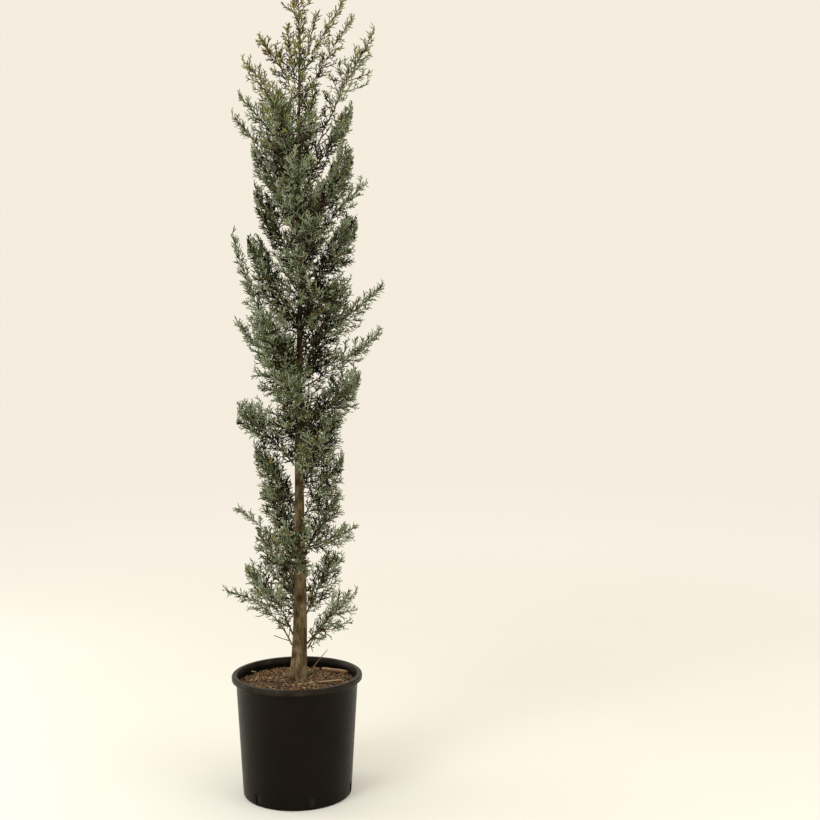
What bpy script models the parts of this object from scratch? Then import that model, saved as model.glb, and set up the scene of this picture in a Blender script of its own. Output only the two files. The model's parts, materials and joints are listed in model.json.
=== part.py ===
"""A young Arizona cypress in a round nursery pot, 1.9 m tall, as separate solids in metres.

The trunk runs whole from the compost to the tip. Shoots leave it all the way up and lean outwards.
Some start with a bare bough, and every shoot carries a mass of foliage that keeps to its own space.
The origin is the middle of the pot's underside. +X is to the right and +Y away, seen from the front.
"""

import itertools
import math
import random

import bmesh
import bpy
import numpy as np
from mathutils import Vector

# Pot: a turned shell with a rolled lip and a ring of drain slots in its lower edge
POT_HEIGHT = 0.2845
POT_RIM_RADIUS = 0.1528
POT_NECK_RADIUS = 0.1425
POT_BASE_RADIUS = 0.1269
POT_WALL = 0.0028
LIP_HEIGHT = 0.0130
LIP_ROUNDING = 0.0050
BASE_ROUNDING = 0.0050
ROUNDING_STEPS = 3
POT_SIDES = 32
ROUND_BELOW = math.radians(34)
DRAIN_SLOTS = 6
DRAIN_SLOT_WIDTH = 0.018
DRAIN_SLOT_HEIGHT = 0.026
DRAIN_SLOT_DEPTH = 0.012
DRAIN_SLOT_TURN = math.radians(-69.5)

# Compost: fills the pot and rises a little round the trunk
SOIL_EDGE_HEIGHT = 0.260
SOIL_MOUND = 0.008
SOIL_SEAT_RADIUS = 0.034
SOIL_STEEPENING = 1.5

# Trunk
TRUNK_X = 0.005
TRUNK_TOP = 1.740
TRUNK_LEAN = 0.009
TRUNK_FOOT_RADIUS = 0.0175
TRUNK_TOP_RADIUS = 0.0026
TRUNK_TAPER = 1.68
FLARE_RADIUS = 0.0055
FLARE_HEIGHT = 0.075
TRUNK_SWAY_X = 0.0015
TRUNK_SWAYS_X = 1.3
TRUNK_SWAY_Y = 0.0050
TRUNK_SWAYS_Y = 0.8
TRUNK_SIDES = 16
TRUNK_RINGS = 20
TRUNK_RING_CROWDING = 1.4

# Crown
TREE_HEIGHT = 1.895
FILL_FROM = 0.84
CROWN_SHOULDER = 1.60
CROWN_RADIUS = 0.132
CROWN_TOP_RADIUS = 0.036
LEAN_OUT_LOW = 1.15
LEAN_OUT_HIGH = 2.10
REACH_RANGE = (0.86, 1.06)
LEAN_RANGE = (0.9, 1.1)
TURN_SPREAD = 0.22
LEAST_REACH_OF_SPACE = 0.107
LEADER_LEAN = -0.004
FILL_SHOOTS = 14
FILL_TOP = 1.74
FILL_TURNS = tuple(math.radians(turn) for turn in (-62, 90, -90, 118, -118, 62, -90))
FILL_SWEEP = -0.08
GOLDEN_ANGLE = math.radians(137.508)
CLEARANCE = 0.0003
TREE_SEED = 11

# The trunk shows from the front in two stretches, given as lowest and highest height
FRONT_GAPS = ((0.25, 0.53), (0.63, 0.77))
FRONT_GAP_HALF_WIDTH = 0.020

# Shoots and what they carry
SHOOT_STEPS = 8
SHOOT_ROOT_RADIUS = 0.0042
SHOOT_TIP_RADIUS = 0.0009
SHOOT_TAPER = 0.8
ROOT_SHARE_OF_TRUNK = 0.42
ROOT_SEARCH_TO = 0.5
ROOT_SEARCH_STEP = 0.001
ROOT_CUT_DROP = 0.010
BOUGH_SIDES = 6
BOUGH_STEPS = 3
STEM_STEPS = 2
LEAST_STEM = 0.45
END_SPRAY_OVERLAP = 0.9
FIRST_TWIG = 0.06
LAST_TWIG = 0.84
TWIG_LENGTH = 0.018
TWIG_RADIUS_OF_STEM = 0.62
TWIG_ANGLE_LOW = math.radians(48)
TWIG_ANGLE_HIGH = math.radians(30)
TWIG_SIZES = (1.45, 1.25, 1.1, 0.95, 0.80, 0.65, 0.52)
TWIG_TURNS = (0.0, 0.5, -0.5, 1.0, -1.0)
TWIG_SAMPLES = (0.2, 0.4)
TWIG_TAPER = 0.8
TWIG_SIZE_RANGE = (0.9, 1.1)
END_TWIGS_SMALLER = 0.18
SPRAY_ROLL = 0.8
SPACE_MARGIN = 0.0018
LIMB_MARGIN = 0.0036
SOIL_MARGIN = 0.010

# Sprays of scale leaves are thickest at their middle. An outline goes from root to tip on one side, as shares
# of the length and of half the width.
SPRAY_MIDDLE = 0.44
TOOTHED = ((0.46, 1.0), (0.52, 0.42))
PLAIN = ((0.44, 1.0),)
SLIM_SPRAY = {"length": 0.072, "width": 0.024, "thickness": 0.010, "outline": TOOTHED}
SLIM_PLAIN_SPRAY = {"length": 0.060, "width": 0.018, "thickness": 0.010, "outline": PLAIN}
AIRY_SPRAY = {"length": 0.076, "width": 0.032, "thickness": 0.012, "outline": TOOTHED}
AIRY_PLAIN_SPRAY = {"length": 0.066, "width": 0.024, "thickness": 0.012, "outline": PLAIN}
TOOTHED_SPRAY = {"length": 0.112, "width": 0.048, "thickness": 0.015, "outline": TOOTHED}
PLAIN_SPRAY = {"length": 0.092, "width": 0.036, "thickness": 0.022, "outline": PLAIN}

# How a mass grows: how far its sprays go from its stem, how many pairs of twigs it has, and their sprays.
# A dense mass has a core, given as its share of the radius.
SPRIG = {"radius": 0.030, "pairs": 3, "sprays": (SLIM_SPRAY, SLIM_PLAIN_SPRAY), "core": 0.0}
PLUME = {"radius": 0.042, "pairs": 4, "sprays": (SLIM_SPRAY, SLIM_PLAIN_SPRAY), "core": 0.0}
AIRY = {"radius": 0.056, "pairs": 4, "sprays": (AIRY_SPRAY, AIRY_PLAIN_SPRAY), "core": 0.0}
OPEN = {"radius": 0.072, "pairs": 4, "sprays": (TOOTHED_SPRAY, PLAIN_SPRAY), "core": 0.0}
DENSE = {"radius": 0.090, "pairs": 5, "sprays": (TOOTHED_SPRAY, PLAIN_SPRAY), "core": 0.52}
DENSE_TO = 1.65

# Placed shoots, lowest first: how they grow, angle round the trunk in degrees from +X, how far the tip
# reaches from the trunk's axis, the tip's height, the height where it leaves the trunk, the share that is
# bare bough, and how it sweeps: below 0 it rises first and then leans out.
PLACED = (
    (AIRY, 20, 0.100, 0.446, 0.300, 0.34, -0.10),
    (AIRY, -14, 0.139, 0.484, 0.330, 0.30, -0.05),
    (SPRIG, 186, 0.182, 0.485, 0.290, 0.32, -0.33),
    (OPEN, 30, 0.088, 0.545, 0.385, 0.00, -0.06),
    (OPEN, 110, 0.100, 0.520, 0.370, 0.00, -0.08),
    (OPEN, 200, 0.132, 0.535, 0.320, 0.00, -0.22),
    (OPEN, 160, 0.110, 0.610, 0.430, 0.00, -0.10),
    (OPEN, -100, 0.100, 0.634, 0.500, 0.00, -0.08),
    (PLUME, -25, 0.150, 0.640, 0.575, 0.00, 0.05),
    (SPRIG, 174, 0.160, 0.674, 0.450, 0.34, -0.25),
    (OPEN, 40, 0.110, 0.690, 0.540, 0.00, -0.08),
    (OPEN, 140, 0.106, 0.710, 0.540, 0.00, -0.08),
    (OPEN, 8, 0.098, 0.785, 0.630, 0.00, -0.08),
    (DENSE, 196, 0.100, 0.802, 0.640, 0.00, -0.20),
    (DENSE, -18, 0.100, 0.885, 0.710, 0.00, -0.18),
    (OPEN, 176, 0.146, 0.904, 0.760, 0.00, -0.08),
    (DENSE, 6, 0.144, 0.972, 0.830, 0.00, -0.08),
    (PLUME, -10, 0.196, 1.090, 0.950, 0.00, 0.06),
    (PLUME, 188, 0.152, 1.110, 0.925, 0.00, -0.08),
    (PLUME, 14, 0.200, 1.195, 1.045, 0.00, 0.04),
    (DENSE, 186, 0.122, 1.285, 1.075, 0.00, -0.08),
    (PLUME, 172, 0.163, 1.323, 0.985, 0.00, 0.14),
    (DENSE, 3, 0.134, 1.330, 1.140, 0.00, -0.08),
    (DENSE, 188, 0.104, 1.400, 1.210, 0.00, -0.08),
    (AIRY, -8, 0.160, 1.430, 1.240, 0.00, -0.08),
    (DENSE, 4, 0.126, 1.490, 1.270, 0.00, -0.08),
    (OPEN, 190, 0.112, 1.500, 1.310, 0.00, -0.08),
    (AIRY, 176, 0.158, 1.584, 1.350, 0.00, -0.10),
    (OPEN, 6, 0.124, 1.600, 1.390, 0.00, -0.04),
    (AIRY, 204, 0.144, 1.615, 1.430, 0.00, -0.10),
    (AIRY, 166, 0.142, 1.716, 1.500, 0.00, -0.12),
    (AIRY, 160, 0.108, 1.770, 1.600, 0.00, -0.10),
    (AIRY, 4, 0.172, 1.776, 1.420, 0.34, -0.03),
    (AIRY, 200, 0.030, 1.775, 1.580, 0.00, -0.04),
    (SPRIG, -30, 0.046, 1.800, 1.630, 0.00, -0.04),
    (SPRIG, 24, 0.136, 1.822, 1.600, 0.00, -0.02),
    (SPRIG, -20, 0.118, 1.842, 1.665, 0.00, 0.00),
)

# A core is a body round the stem whose points stand out and in by turns, clear of the trunk
CORE_RINGS = 4
CORE_POINTS = 6
CORE_START = 0.08
CORE_FIRST = 0.16
CORE_LAST = 0.84
CORE_END = 0.96
CORE_HOLLOW = 0.62
CORE_FULLNESS = 0.4
CORE_ROUNDS = 16
CORE_DRAWN_IN = 0.86
CORE_SAMPLES = (0, 0.25, 0.5, 0.75)

# Materials, as base colour and roughness
POT_PLASTIC = ((0.012, 0.011, 0.010), 0.45)
COMPOST = ((0.105, 0.055, 0.030), 0.95)
BARK = ((0.165, 0.115, 0.068), 0.85)
FOLIAGE = ((0.125, 0.165, 0.120), 0.75)


def clear_scene():
    for obj in list(bpy.data.objects):
        bpy.data.objects.remove(obj, do_unlink=True)


def make_material(name, colour, roughness):
    material = bpy.data.materials.new(name)
    material.use_nodes = True
    shader = material.node_tree.nodes["Principled BSDF"]
    shader.inputs["Base Color"].default_value = (*colour, 1.0)
    shader.inputs["Roughness"].default_value = roughness
    return material


def make_object(name, points, faces, material=None, collection=None, origin=Vector((0, 0, 0))):
    mesh = bpy.data.meshes.new(name)
    mesh.from_pydata([tuple(point - origin) for point in points], [], faces)
    mesh.update()
    obj = bpy.data.objects.new(name, mesh)
    obj.location = origin
    (collection or bpy.context.scene.collection).objects.link(obj)
    if material:
        mesh.materials.append(material)
    return obj


def shade_round(obj):
    """Smooth shading, with the edges sharper than ROUND_BELOW kept sharp."""
    obj.data.shade_smooth()
    obj.data.set_sharp_from_angle(angle=ROUND_BELOW)
    return obj


def turned(profile, sides):
    """Points and faces of a profile of (radius, height) turned round Z, from its lower to its upper pole."""
    points = []
    rings = []
    for radius, height in profile:
        if radius == 0:
            rings.append([len(points)])
            points.append(Vector((0, 0, height)))
            continue
        rings.append(list(range(len(points), len(points) + sides)))
        for k in range(sides):
            turn = 2 * math.pi * k / sides
            points.append(Vector((radius * math.cos(turn), radius * math.sin(turn), height)))
    return points, skin(rings)


def skin(rings):
    """Faces between rings of equal count. A ring of one point is a pole."""
    faces = []
    for low, high in zip(rings, rings[1:]):
        count = max(len(low), len(high))
        for k in range(count):
            after = (k + 1) % count
            if len(low) == 1:
                faces.append((low[0], high[after], high[k]))
            elif len(high) == 1:
                faces.append((low[k], low[after], high[0]))
            else:
                faces.append((low[k], low[after], high[after], high[k]))
    return faces


def triangles(faces):
    """The same faces, each split from its first corner."""
    return [(face[0], *pair) for face in faces for pair in zip(face[1:], face[2:])]


def arc(centre, radius, start, end, steps):
    """Points of an arc in a profile, angles in degrees from outwards."""
    return [
        (
            centre[0] + radius * math.cos(math.radians(start + (end - start) * k / steps)),
            centre[1] + radius * math.sin(math.radians(start + (end - start) * k / steps)),
        )
        for k in range(steps + 1)
    ]


def pot_wall_radius(height):
    """Outer radius of the pot's body at a height."""
    share = height / (POT_HEIGHT - LIP_HEIGHT)
    return POT_BASE_RADIUS + (POT_NECK_RADIUS - POT_BASE_RADIUS) * share


def build_pot(material):
    neck = POT_HEIGHT - LIP_HEIGHT
    lip_inner = pot_wall_radius(POT_HEIGHT) - POT_WALL
    base_arc = arc((POT_BASE_RADIUS - BASE_ROUNDING, BASE_ROUNDING), BASE_ROUNDING, -90, 0, ROUNDING_STEPS)
    lip_centre = (POT_RIM_RADIUS - LIP_ROUNDING, POT_HEIGHT - LIP_ROUNDING)
    lip_arc = arc(lip_centre, LIP_ROUNDING, 0, 90, ROUNDING_STEPS)
    profile = [(0, 0), *base_arc, (pot_wall_radius(neck), neck), (POT_RIM_RADIUS, neck), *lip_arc]
    profile += [(lip_inner, POT_HEIGHT), (pot_wall_radius(POT_WALL) - POT_WALL, POT_WALL), (0, POT_WALL)]
    pot = make_object("pot", *turned(profile, POT_SIDES), material)
    cutters = bpy.data.collections.new("drain_slots")
    bpy.context.scene.collection.children.link(cutters)
    for k in range(DRAIN_SLOTS):
        turn = DRAIN_SLOT_TURN + 2 * math.pi * k / DRAIN_SLOTS
        cutter = make_box("drain_slot", (DRAIN_SLOT_DEPTH, DRAIN_SLOT_WIDTH, DRAIN_SLOT_HEIGHT), cutters)
        middle = POT_BASE_RADIUS - POT_WALL / 2
        cutter.location = (
            middle * math.cos(turn),
            middle * math.sin(turn),
            POT_WALL + DRAIN_SLOT_HEIGHT / 2,
        )
        cutter.rotation_euler.z = turn
    join(pot, cutters, "DIFFERENCE", "EXACT")
    return shade_round(pot)


def make_box(name, size, collection):
    half = [side / 2 for side in size]
    rings = []
    points = []
    for z in (-half[2], half[2]):
        rings.append(list(range(len(points), len(points) + 4)))
        for x, y in ((-half[0], -half[1]), (half[0], -half[1]), (half[0], half[1]), (-half[0], half[1])):
            points.append(Vector((x, y, z)))
    faces = [tuple(reversed(rings[0])), *skin(rings), tuple(rings[1])]
    return make_object(name, points, faces, collection=collection)


def join(obj, collection, operation, solver):
    """Applies one Boolean with a collection to obj, then removes the collection and its objects."""
    modifier = obj.modifiers.new("join", "BOOLEAN")
    modifier.operation = operation
    modifier.operand_type = "COLLECTION"
    modifier.collection = collection
    modifier.solver = solver
    graph = bpy.context.evaluated_depsgraph_get()
    joined = bpy.data.meshes.new_from_object(obj.evaluated_get(graph))
    obj.modifiers.clear()
    obj.data = joined
    for other in list(collection.objects):
        bpy.data.objects.remove(other, do_unlink=True)
    bpy.data.collections.remove(collection)


def split_into_triangles(obj):
    bm = bmesh.new()
    bm.from_mesh(obj.data)
    bmesh.ops.triangulate(bm, faces=bm.faces)
    bm.to_mesh(obj.data)
    bm.free()


def keep_largest_shell(obj):
    """Drops loose scraps, and fills hollows that the joining sealed, by keeping only the largest shell."""
    bm = bmesh.new()
    bm.from_mesh(obj.data)
    unseen = set(bm.faces)
    shells = []
    while unseen:
        stack = [unseen.pop()]
        shell = []
        while stack:
            face = stack.pop()
            shell.append(face)
            for edge in face.edges:
                for other in edge.link_faces:
                    if other in unseen:
                        unseen.remove(other)
                        stack.append(other)
        shells.append(shell)
    largest = max(shells, key=len)
    scrap = [face for shell in shells if shell is not largest for face in shell]
    if scrap:
        bmesh.ops.delete(bm, geom=scrap, context="FACES")
    bm.to_mesh(obj.data)
    bm.free()


def build_soil(material):
    inner = POT_WALL + CLEARANCE
    edge = pot_wall_radius(SOIL_EDGE_HEIGHT) - inner
    slope = [
        (edge + (SOIL_SEAT_RADIUS - edge) * share, SOIL_EDGE_HEIGHT + SOIL_MOUND * share**SOIL_STEEPENING)
        for share in (0, 0.5, 1)
    ]
    profile = [(0, inner), (pot_wall_radius(inner) - inner, inner), *slope, (0, soil_top())]
    return shade_round(make_object("soil", *turned(profile, POT_SIDES), material))


def soil_top():
    return SOIL_EDGE_HEIGHT + SOIL_MOUND


def trunk_foot():
    return soil_top() + CLEARANCE


def trunk_axis(height):
    """The trunk's x and y at a height, or at an array of heights."""
    turns = 2 * math.pi * (height - trunk_foot())
    lean = TRUNK_LEAN * (height - trunk_foot()) / (TRUNK_TOP - trunk_foot())
    return (
        TRUNK_X + lean + TRUNK_SWAY_X * np.sin(TRUNK_SWAYS_X * turns),
        TRUNK_SWAY_Y * np.sin(TRUNK_SWAYS_Y * turns),
    )


def trunk_point(height):
    return Vector((*trunk_axis(height), height))


def trunk_radius(height):
    """The trunk's radius at a height, or at an array of heights."""
    share = np.clip((height - trunk_foot()) / (TRUNK_TOP - trunk_foot()), 0, 1)
    flare = FLARE_RADIUS * np.exp(-(height - trunk_foot()) / FLARE_HEIGHT)
    return TRUNK_TOP_RADIUS + (TRUNK_FOOT_RADIUS - TRUNK_TOP_RADIUS) * (1 - share) ** TRUNK_TAPER + flare


def build_trunk(material):
    """Level rings up the trunk's axis, closer together in the root flare, with flat ends."""
    length = TRUNK_TOP - trunk_foot()
    shares = [(k / (TRUNK_RINGS - 1)) ** TRUNK_RING_CROWDING for k in range(TRUNK_RINGS)]
    heights = [trunk_foot() + length * share for share in shares]
    points = []
    rings = []
    for height in heights:
        rings.append(list(range(len(points), len(points) + TRUNK_SIDES)))
        for k in range(TRUNK_SIDES):
            turn = 2 * math.pi * k / TRUNK_SIDES
            spoke = Vector((math.cos(turn), math.sin(turn), 0))
            points.append(trunk_point(height) + spoke * trunk_radius(height))
    faces = [tuple(reversed(rings[0])), *skin(rings), tuple(rings[-1])]
    return shade_round(make_object("trunk", points, faces, material))


class Shoot:
    """A shoot's curve, from the trunk's axis to its tip, and where its bare bough ends."""

    def __init__(self, habit, angle, reach, tip_height, leaves_at, bare, sweep):
        self.habit = habit
        self.outward = Vector((math.cos(angle), math.sin(angle), 0))
        self.reach = reach
        self.root = trunk_point(leaves_at)
        rise = tip_height - leaves_at
        axis = trunk_point(min(tip_height, TRUNK_TOP))
        self.tip = Vector((axis.x, axis.y, tip_height)) + self.outward * reach
        self.bend = self.root + self.outward * (0.5 + sweep) * reach + Vector((0, 0, (0.5 - sweep) * rise))
        self.bare = bare
        self.start = self.share_outside_trunk()
        self.root_radius = min(SHOOT_ROOT_RADIUS, trunk_radius(leaves_at) * ROOT_SHARE_OF_TRUNK)

    def point(self, share):
        rest = 1 - share
        return self.root * rest * rest + self.bend * 2 * rest * share + self.tip * share * share

    def tangent(self, share):
        return ((self.bend - self.root) * (1 - share) + (self.tip - self.bend) * share).normalized()

    def radius(self, share):
        return self.root_radius + (SHOOT_TIP_RADIUS - self.root_radius) * share**SHOOT_TAPER

    def share_outside_trunk(self):
        """The first share of the curve at which a root cut parallel to the trunk is clear of it."""
        for share in np.arange(0, ROOT_SEARCH_TO, ROOT_SEARCH_STEP):
            point = self.point(share)
            across = point - trunk_point(point.z)
            if across.dot(self.outward) >= trunk_radius(point.z - ROOT_CUT_DROP) + CLEARANCE:
                return float(share)
        return ROOT_SEARCH_TO

    def leafy_from(self):
        return max(self.bare, self.start)

    def line(self):
        """Points along the part that carries foliage."""
        first = self.leafy_from()
        return [self.point(first + (1 - first) * k / SHOOT_STEPS) for k in range(SHOOT_STEPS + 1)]


class Leader(Shoot):
    """The tip of the tree, above the trunk's flat top."""

    def __init__(self):
        self.habit = PLUME
        self.outward = Vector((1, 0, 0))
        self.reach = CROWN_TOP_RADIUS
        self.root = trunk_point(TRUNK_TOP) + Vector((0, 0, CLEARANCE))
        self.tip = Vector((self.root.x + LEADER_LEAN, self.root.y, TREE_HEIGHT))
        self.bend = (self.root + self.tip) / 2
        self.bare = 0.0
        self.start = 0.0
        self.root_radius = TRUNK_TOP_RADIUS


def crown_radius(height):
    """How far a shoot of the closed crown reaches at its tip's height."""
    share = max(0.0, height - CROWN_SHOULDER) / (TREE_HEIGHT - CROWN_SHOULDER)
    return CROWN_RADIUS + (CROWN_TOP_RADIUS - CROWN_RADIUS) * share


def grow_shoots():
    """The placed shoots, and between them those that close the crown in front and behind by turns."""
    rng = random.Random(TREE_SEED)
    placed = [Shoot(habit, math.radians(turn), *sizes) for habit, turn, *sizes in PLACED]
    fill = []
    for k in range(FILL_SHOOTS):
        up = k / (FILL_SHOOTS - 1)
        height = FILL_FROM + (FILL_TOP - FILL_FROM) * up
        angle = FILL_TURNS[k % len(FILL_TURNS)] + rng.uniform(-TURN_SPREAD, TURN_SPREAD)
        reach = crown_radius(height) * rng.uniform(*REACH_RANGE)
        lean = LEAN_OUT_LOW + (LEAN_OUT_HIGH - LEAN_OUT_LOW) * up
        leaves_at = height - reach * lean * rng.uniform(*LEAN_RANGE)
        habit = DENSE if height < DENSE_TO else AIRY
        fill.append(Shoot(habit, angle, reach, height, leaves_at, 0.0, FILL_SWEEP))
    return [*sorted(placed + fill, key=lambda shoot: shoot.tip.z), Leader()]


def segment_distances(points, lines):
    """For each point, the least distance to each polyline: an array of points by lines."""
    found = np.empty((len(points), len(lines)))
    for column, line in enumerate(lines):
        start = line[:-1][None]
        way = (line[1:] - line[:-1])[None]
        offset = points[:, None] - start
        share = np.clip((offset * way).sum(2) / (way * way).sum(2), 0, 1)
        found[:, column] = np.linalg.norm(offset - share[..., None] * way, axis=2).min(1)
    return found


class Spaces:
    """Which mass a point belongs to: the one whose stem is nearest as a share of that mass's radius."""

    def __init__(self, shoots):
        self.lines = [np.array([tuple(point) for point in shoot.line()]) for shoot in shoots]
        self.radii = np.array([shoot.habit["radius"] for shoot in shoots])
        self.reaches = [max(shoot.reach, LEAST_REACH_OF_SPACE) for shoot in shoots]
        self.boughs = []
        self.bough_radii = []
        for shoot in shoots:
            if shoot.bare > shoot.start:
                line = [shoot.point(shoot.bare * k / BOUGH_STEPS) for k in range(BOUGH_STEPS + 1)]
                self.boughs.append(np.array([tuple(point) for point in line]))
                self.bough_radii.append(shoot.root_radius)

    def allows(self, index, places):
        """For each point of an array, whether it lies in the space of mass number index."""
        heights = places[:, 2]
        allowed = (heights > soil_top() + SOIL_MARGIN) & (heights < TREE_HEIGHT)
        allowed &= ~(on_trunk(places) | in_front_gap(places))
        away = segment_distances(places, self.lines) / self.radii[None]
        own = away[:, index].copy()
        away[:, index] = np.inf
        allowed &= (own < 1) & (own + SPACE_MARGIN / self.radii.min() < away.min(1))
        allowed &= distances_from_trunk(places) < self.reaches[index]
        near = segment_distances(places, self.boughs) - np.array(self.bough_radii)[None]
        return allowed & (near > LIMB_MARGIN).all(1)

    def holds(self, index, points):
        """True if all the points lie in the space of mass number index."""
        return bool(self.allows(index, np.array([tuple(point) for point in points])).all())


def distances_from_trunk(places):
    x, y = trunk_axis(np.minimum(places[:, 2], TRUNK_TOP))
    return np.hypot(places[:, 0] - x, places[:, 1] - y)


def on_trunk(places):
    near = distances_from_trunk(places) < trunk_radius(places[:, 2]) + LIMB_MARGIN
    return near & (places[:, 2] < TRUNK_TOP + LIMB_MARGIN)


def in_front_gap(places):
    in_front = (places[:, 1] < 0) & (abs(places[:, 0] - TRUNK_X) < FRONT_GAP_HALF_WIDTH)
    heights = places[:, 2]
    return in_front & np.any([(low < heights) & (heights < high) for low, high in FRONT_GAPS], axis=0)


def frame_round(direction):
    """Two unit vectors across a direction."""
    helper = Vector((0, 0, 1)) if abs(direction.z) < 0.9 else Vector((1, 0, 0))
    side = direction.cross(helper).normalized()
    return side, direction.cross(side).normalized()


def tube(centres, radii, sides):
    """A closed tube through centres, cut square at both ends."""
    points = []
    rings = []
    for k, (centre, radius) in enumerate(zip(centres, radii)):
        side, up = frame_round(direction_at(centres, k))
        rings.append(list(range(len(points), len(points) + sides)))
        for j in range(sides):
            turn = 2 * math.pi * j / sides
            points.append(centre + (side * math.cos(turn) + up * math.sin(turn)) * radius)
    faces = [tuple(reversed(rings[0])), *skin(rings), tuple(rings[-1])]
    return points, faces


def leafy_twig(centres, radii, way, across, spray, size=1.0):
    """A three-sided twig through centres that ends in a spray along way, broad along across: (points, faces).

    Its first three points are its root. With one centre the spray starts there.
    """
    points = []
    rings = []
    for k, (centre, radius) in enumerate(zip(centres, radii)):
        side, up = across_frame(direction_at(centres, k) if len(centres) > 1 else way, across)
        rings.append(list(range(len(points), len(points) + 3)))
        low = centre - up * radius / 2
        points += [low + side * radius, centre + up * radius, low - side * radius]
    root = centres[-1]
    side, up = across_frame(way, across)
    way = way * spray["length"] * size
    side *= spray["width"] / 2 * size
    up *= spray["thickness"] / 2 * size
    right, left = [], []
    for chain, sign in ((right, 1), (left, -1)):
        for along, out in spray["outline"]:
            chain.append(len(points))
            points.append(root + way * along + side * sign * out)
    over, under, tip = len(points), len(points) + 1, len(points) + 2
    points += [root + way * SPRAY_MIDDLE + up, root + way * SPRAY_MIDDLE - up, root + way]
    first, last = rings[0], rings[-1]
    edge = [last[0], *right, tip, *reversed(left), last[2]]
    faces = [tuple(reversed(first)), *skin(rings)]
    for low, high in zip(edge, edge[1:]):
        faces.append((high, low, over))
        faces.append((low, high, under))
    faces += [(last[0], last[1], over), (last[1], last[2], over), (last[2], last[0], under)]
    return points, triangles(faces)


def direction_at(centres, k):
    return (centres[min(k + 1, len(centres) - 1)] - centres[max(k - 1, 0)]).normalized()


def across_frame(way, across):
    """The unit vector nearest to across that lies across way, and the one across both."""
    up = way.cross(across).normalized()
    return up.cross(way).normalized(), up


def twig_sites(shoot, rng):
    """Where pairs of twigs leave a stem: place, the stem's way, outward, angle, size and radius."""
    first = shoot.leafy_from()
    turn = rng.uniform(0, 2 * math.pi)
    pairs = shoot.habit["pairs"]
    for k in range(pairs):
        along = FIRST_TWIG + (LAST_TWIG - FIRST_TWIG) * k / (pairs - 1)
        share = first + (1 - first) * along
        way = shoot.tangent(share)
        side, up = frame_round(way)
        turn += GOLDEN_ANGLE + rng.uniform(-TURN_SPREAD, TURN_SPREAD)
        angle = TWIG_ANGLE_LOW + (TWIG_ANGLE_HIGH - TWIG_ANGLE_LOW) * along
        out = side * math.cos(turn) + up * math.sin(turn)
        size = (1 - END_TWIGS_SMALLER * abs(2 * along - 0.6)) * rng.uniform(*TWIG_SIZE_RANGE)
        yield shoot.point(share), way, out, angle, size, shoot.radius(share) * TWIG_RADIUS_OF_STEM


def fitted_twig(index, spaces, root, direction, across, radius, twig_length, spray, size):
    """The largest twig with a spray from root that stays in the mass's own space, or None."""
    for fit in TWIG_SIZES:
        for turn in TWIG_TURNS:
            way = (direction + across * turn).normalized()
            broad = across - direction * turn
            centres = [root, root + way * twig_length * size * fit] if twig_length else [root]
            twig = leafy_twig(centres, [radius, radius * TWIG_TAPER], way, broad, spray, size * fit)
            outer = twig[0][3:]
            inner = [point.lerp(root, share) for point in outer for share in TWIG_SAMPLES]
            if spaces.holds(index, outer + inner):
                return twig
    return None


def core_body(index, shoot, spaces):
    """A closed body round the stem, drawn in until its faces keep to the mass's space: (points, faces)."""
    first = shoot.leafy_from()
    centres, outs, reaches, rings = [], [], [], []
    for k, along in enumerate((CORE_START, *np.linspace(CORE_FIRST, CORE_LAST, CORE_RINGS), CORE_END)):
        is_pole = along in (CORE_START, CORE_END)
        share = first + (1 - first) * along
        side, up = frame_round(shoot.tangent(share))
        swell = math.sin(math.pi * along) ** CORE_FULLNESS
        full = 0 if is_pole else shoot.habit["radius"] * shoot.habit["core"] * swell
        sides = range(1 if is_pole else CORE_POINTS)
        rings.append([len(centres) + j for j in sides])
        for j in sides:
            turn = 2 * math.pi * j / CORE_POINTS
            centres.append(tuple(shoot.point(share)))
            outs.append(tuple(side * math.cos(turn) + up * math.sin(turn)))
            reaches.append(full * (1 if (j + k) % 2 else CORE_HOLLOW))
    faces = triangles(skin(rings))
    edges = np.array([edge for face in faces for edge in zip(face, (*face[1:], face[0]))])
    reaches = np.array(reaches)
    for _ in range(CORE_ROUNDS):
        places = np.array(centres) + np.array(outs) * reaches[:, None]
        starts, ends = places[edges[:, 0]], places[edges[:, 1]]
        along_edges = [starts + (ends - starts) * part for part in CORE_SAMPLES]
        blocked = np.any([~may_fill(index, shoot, spaces, sample) for sample in along_edges], axis=0)
        reaches[np.unique(edges[blocked])] *= CORE_DRAWN_IN
    return [Vector(place) for place in places], faces


def may_fill(index, shoot, spaces, places):
    """For each point, whether it lies in the mass's space and past the plane that touches the trunk."""
    x, y = trunk_axis(places[:, 2])
    past = (places[:, 0] - x) * shoot.outward.x + (places[:, 1] - y) * shoot.outward.y
    return spaces.allows(index, places) & (past > trunk_radius(places[:, 2]) + LIMB_MARGIN)


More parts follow.
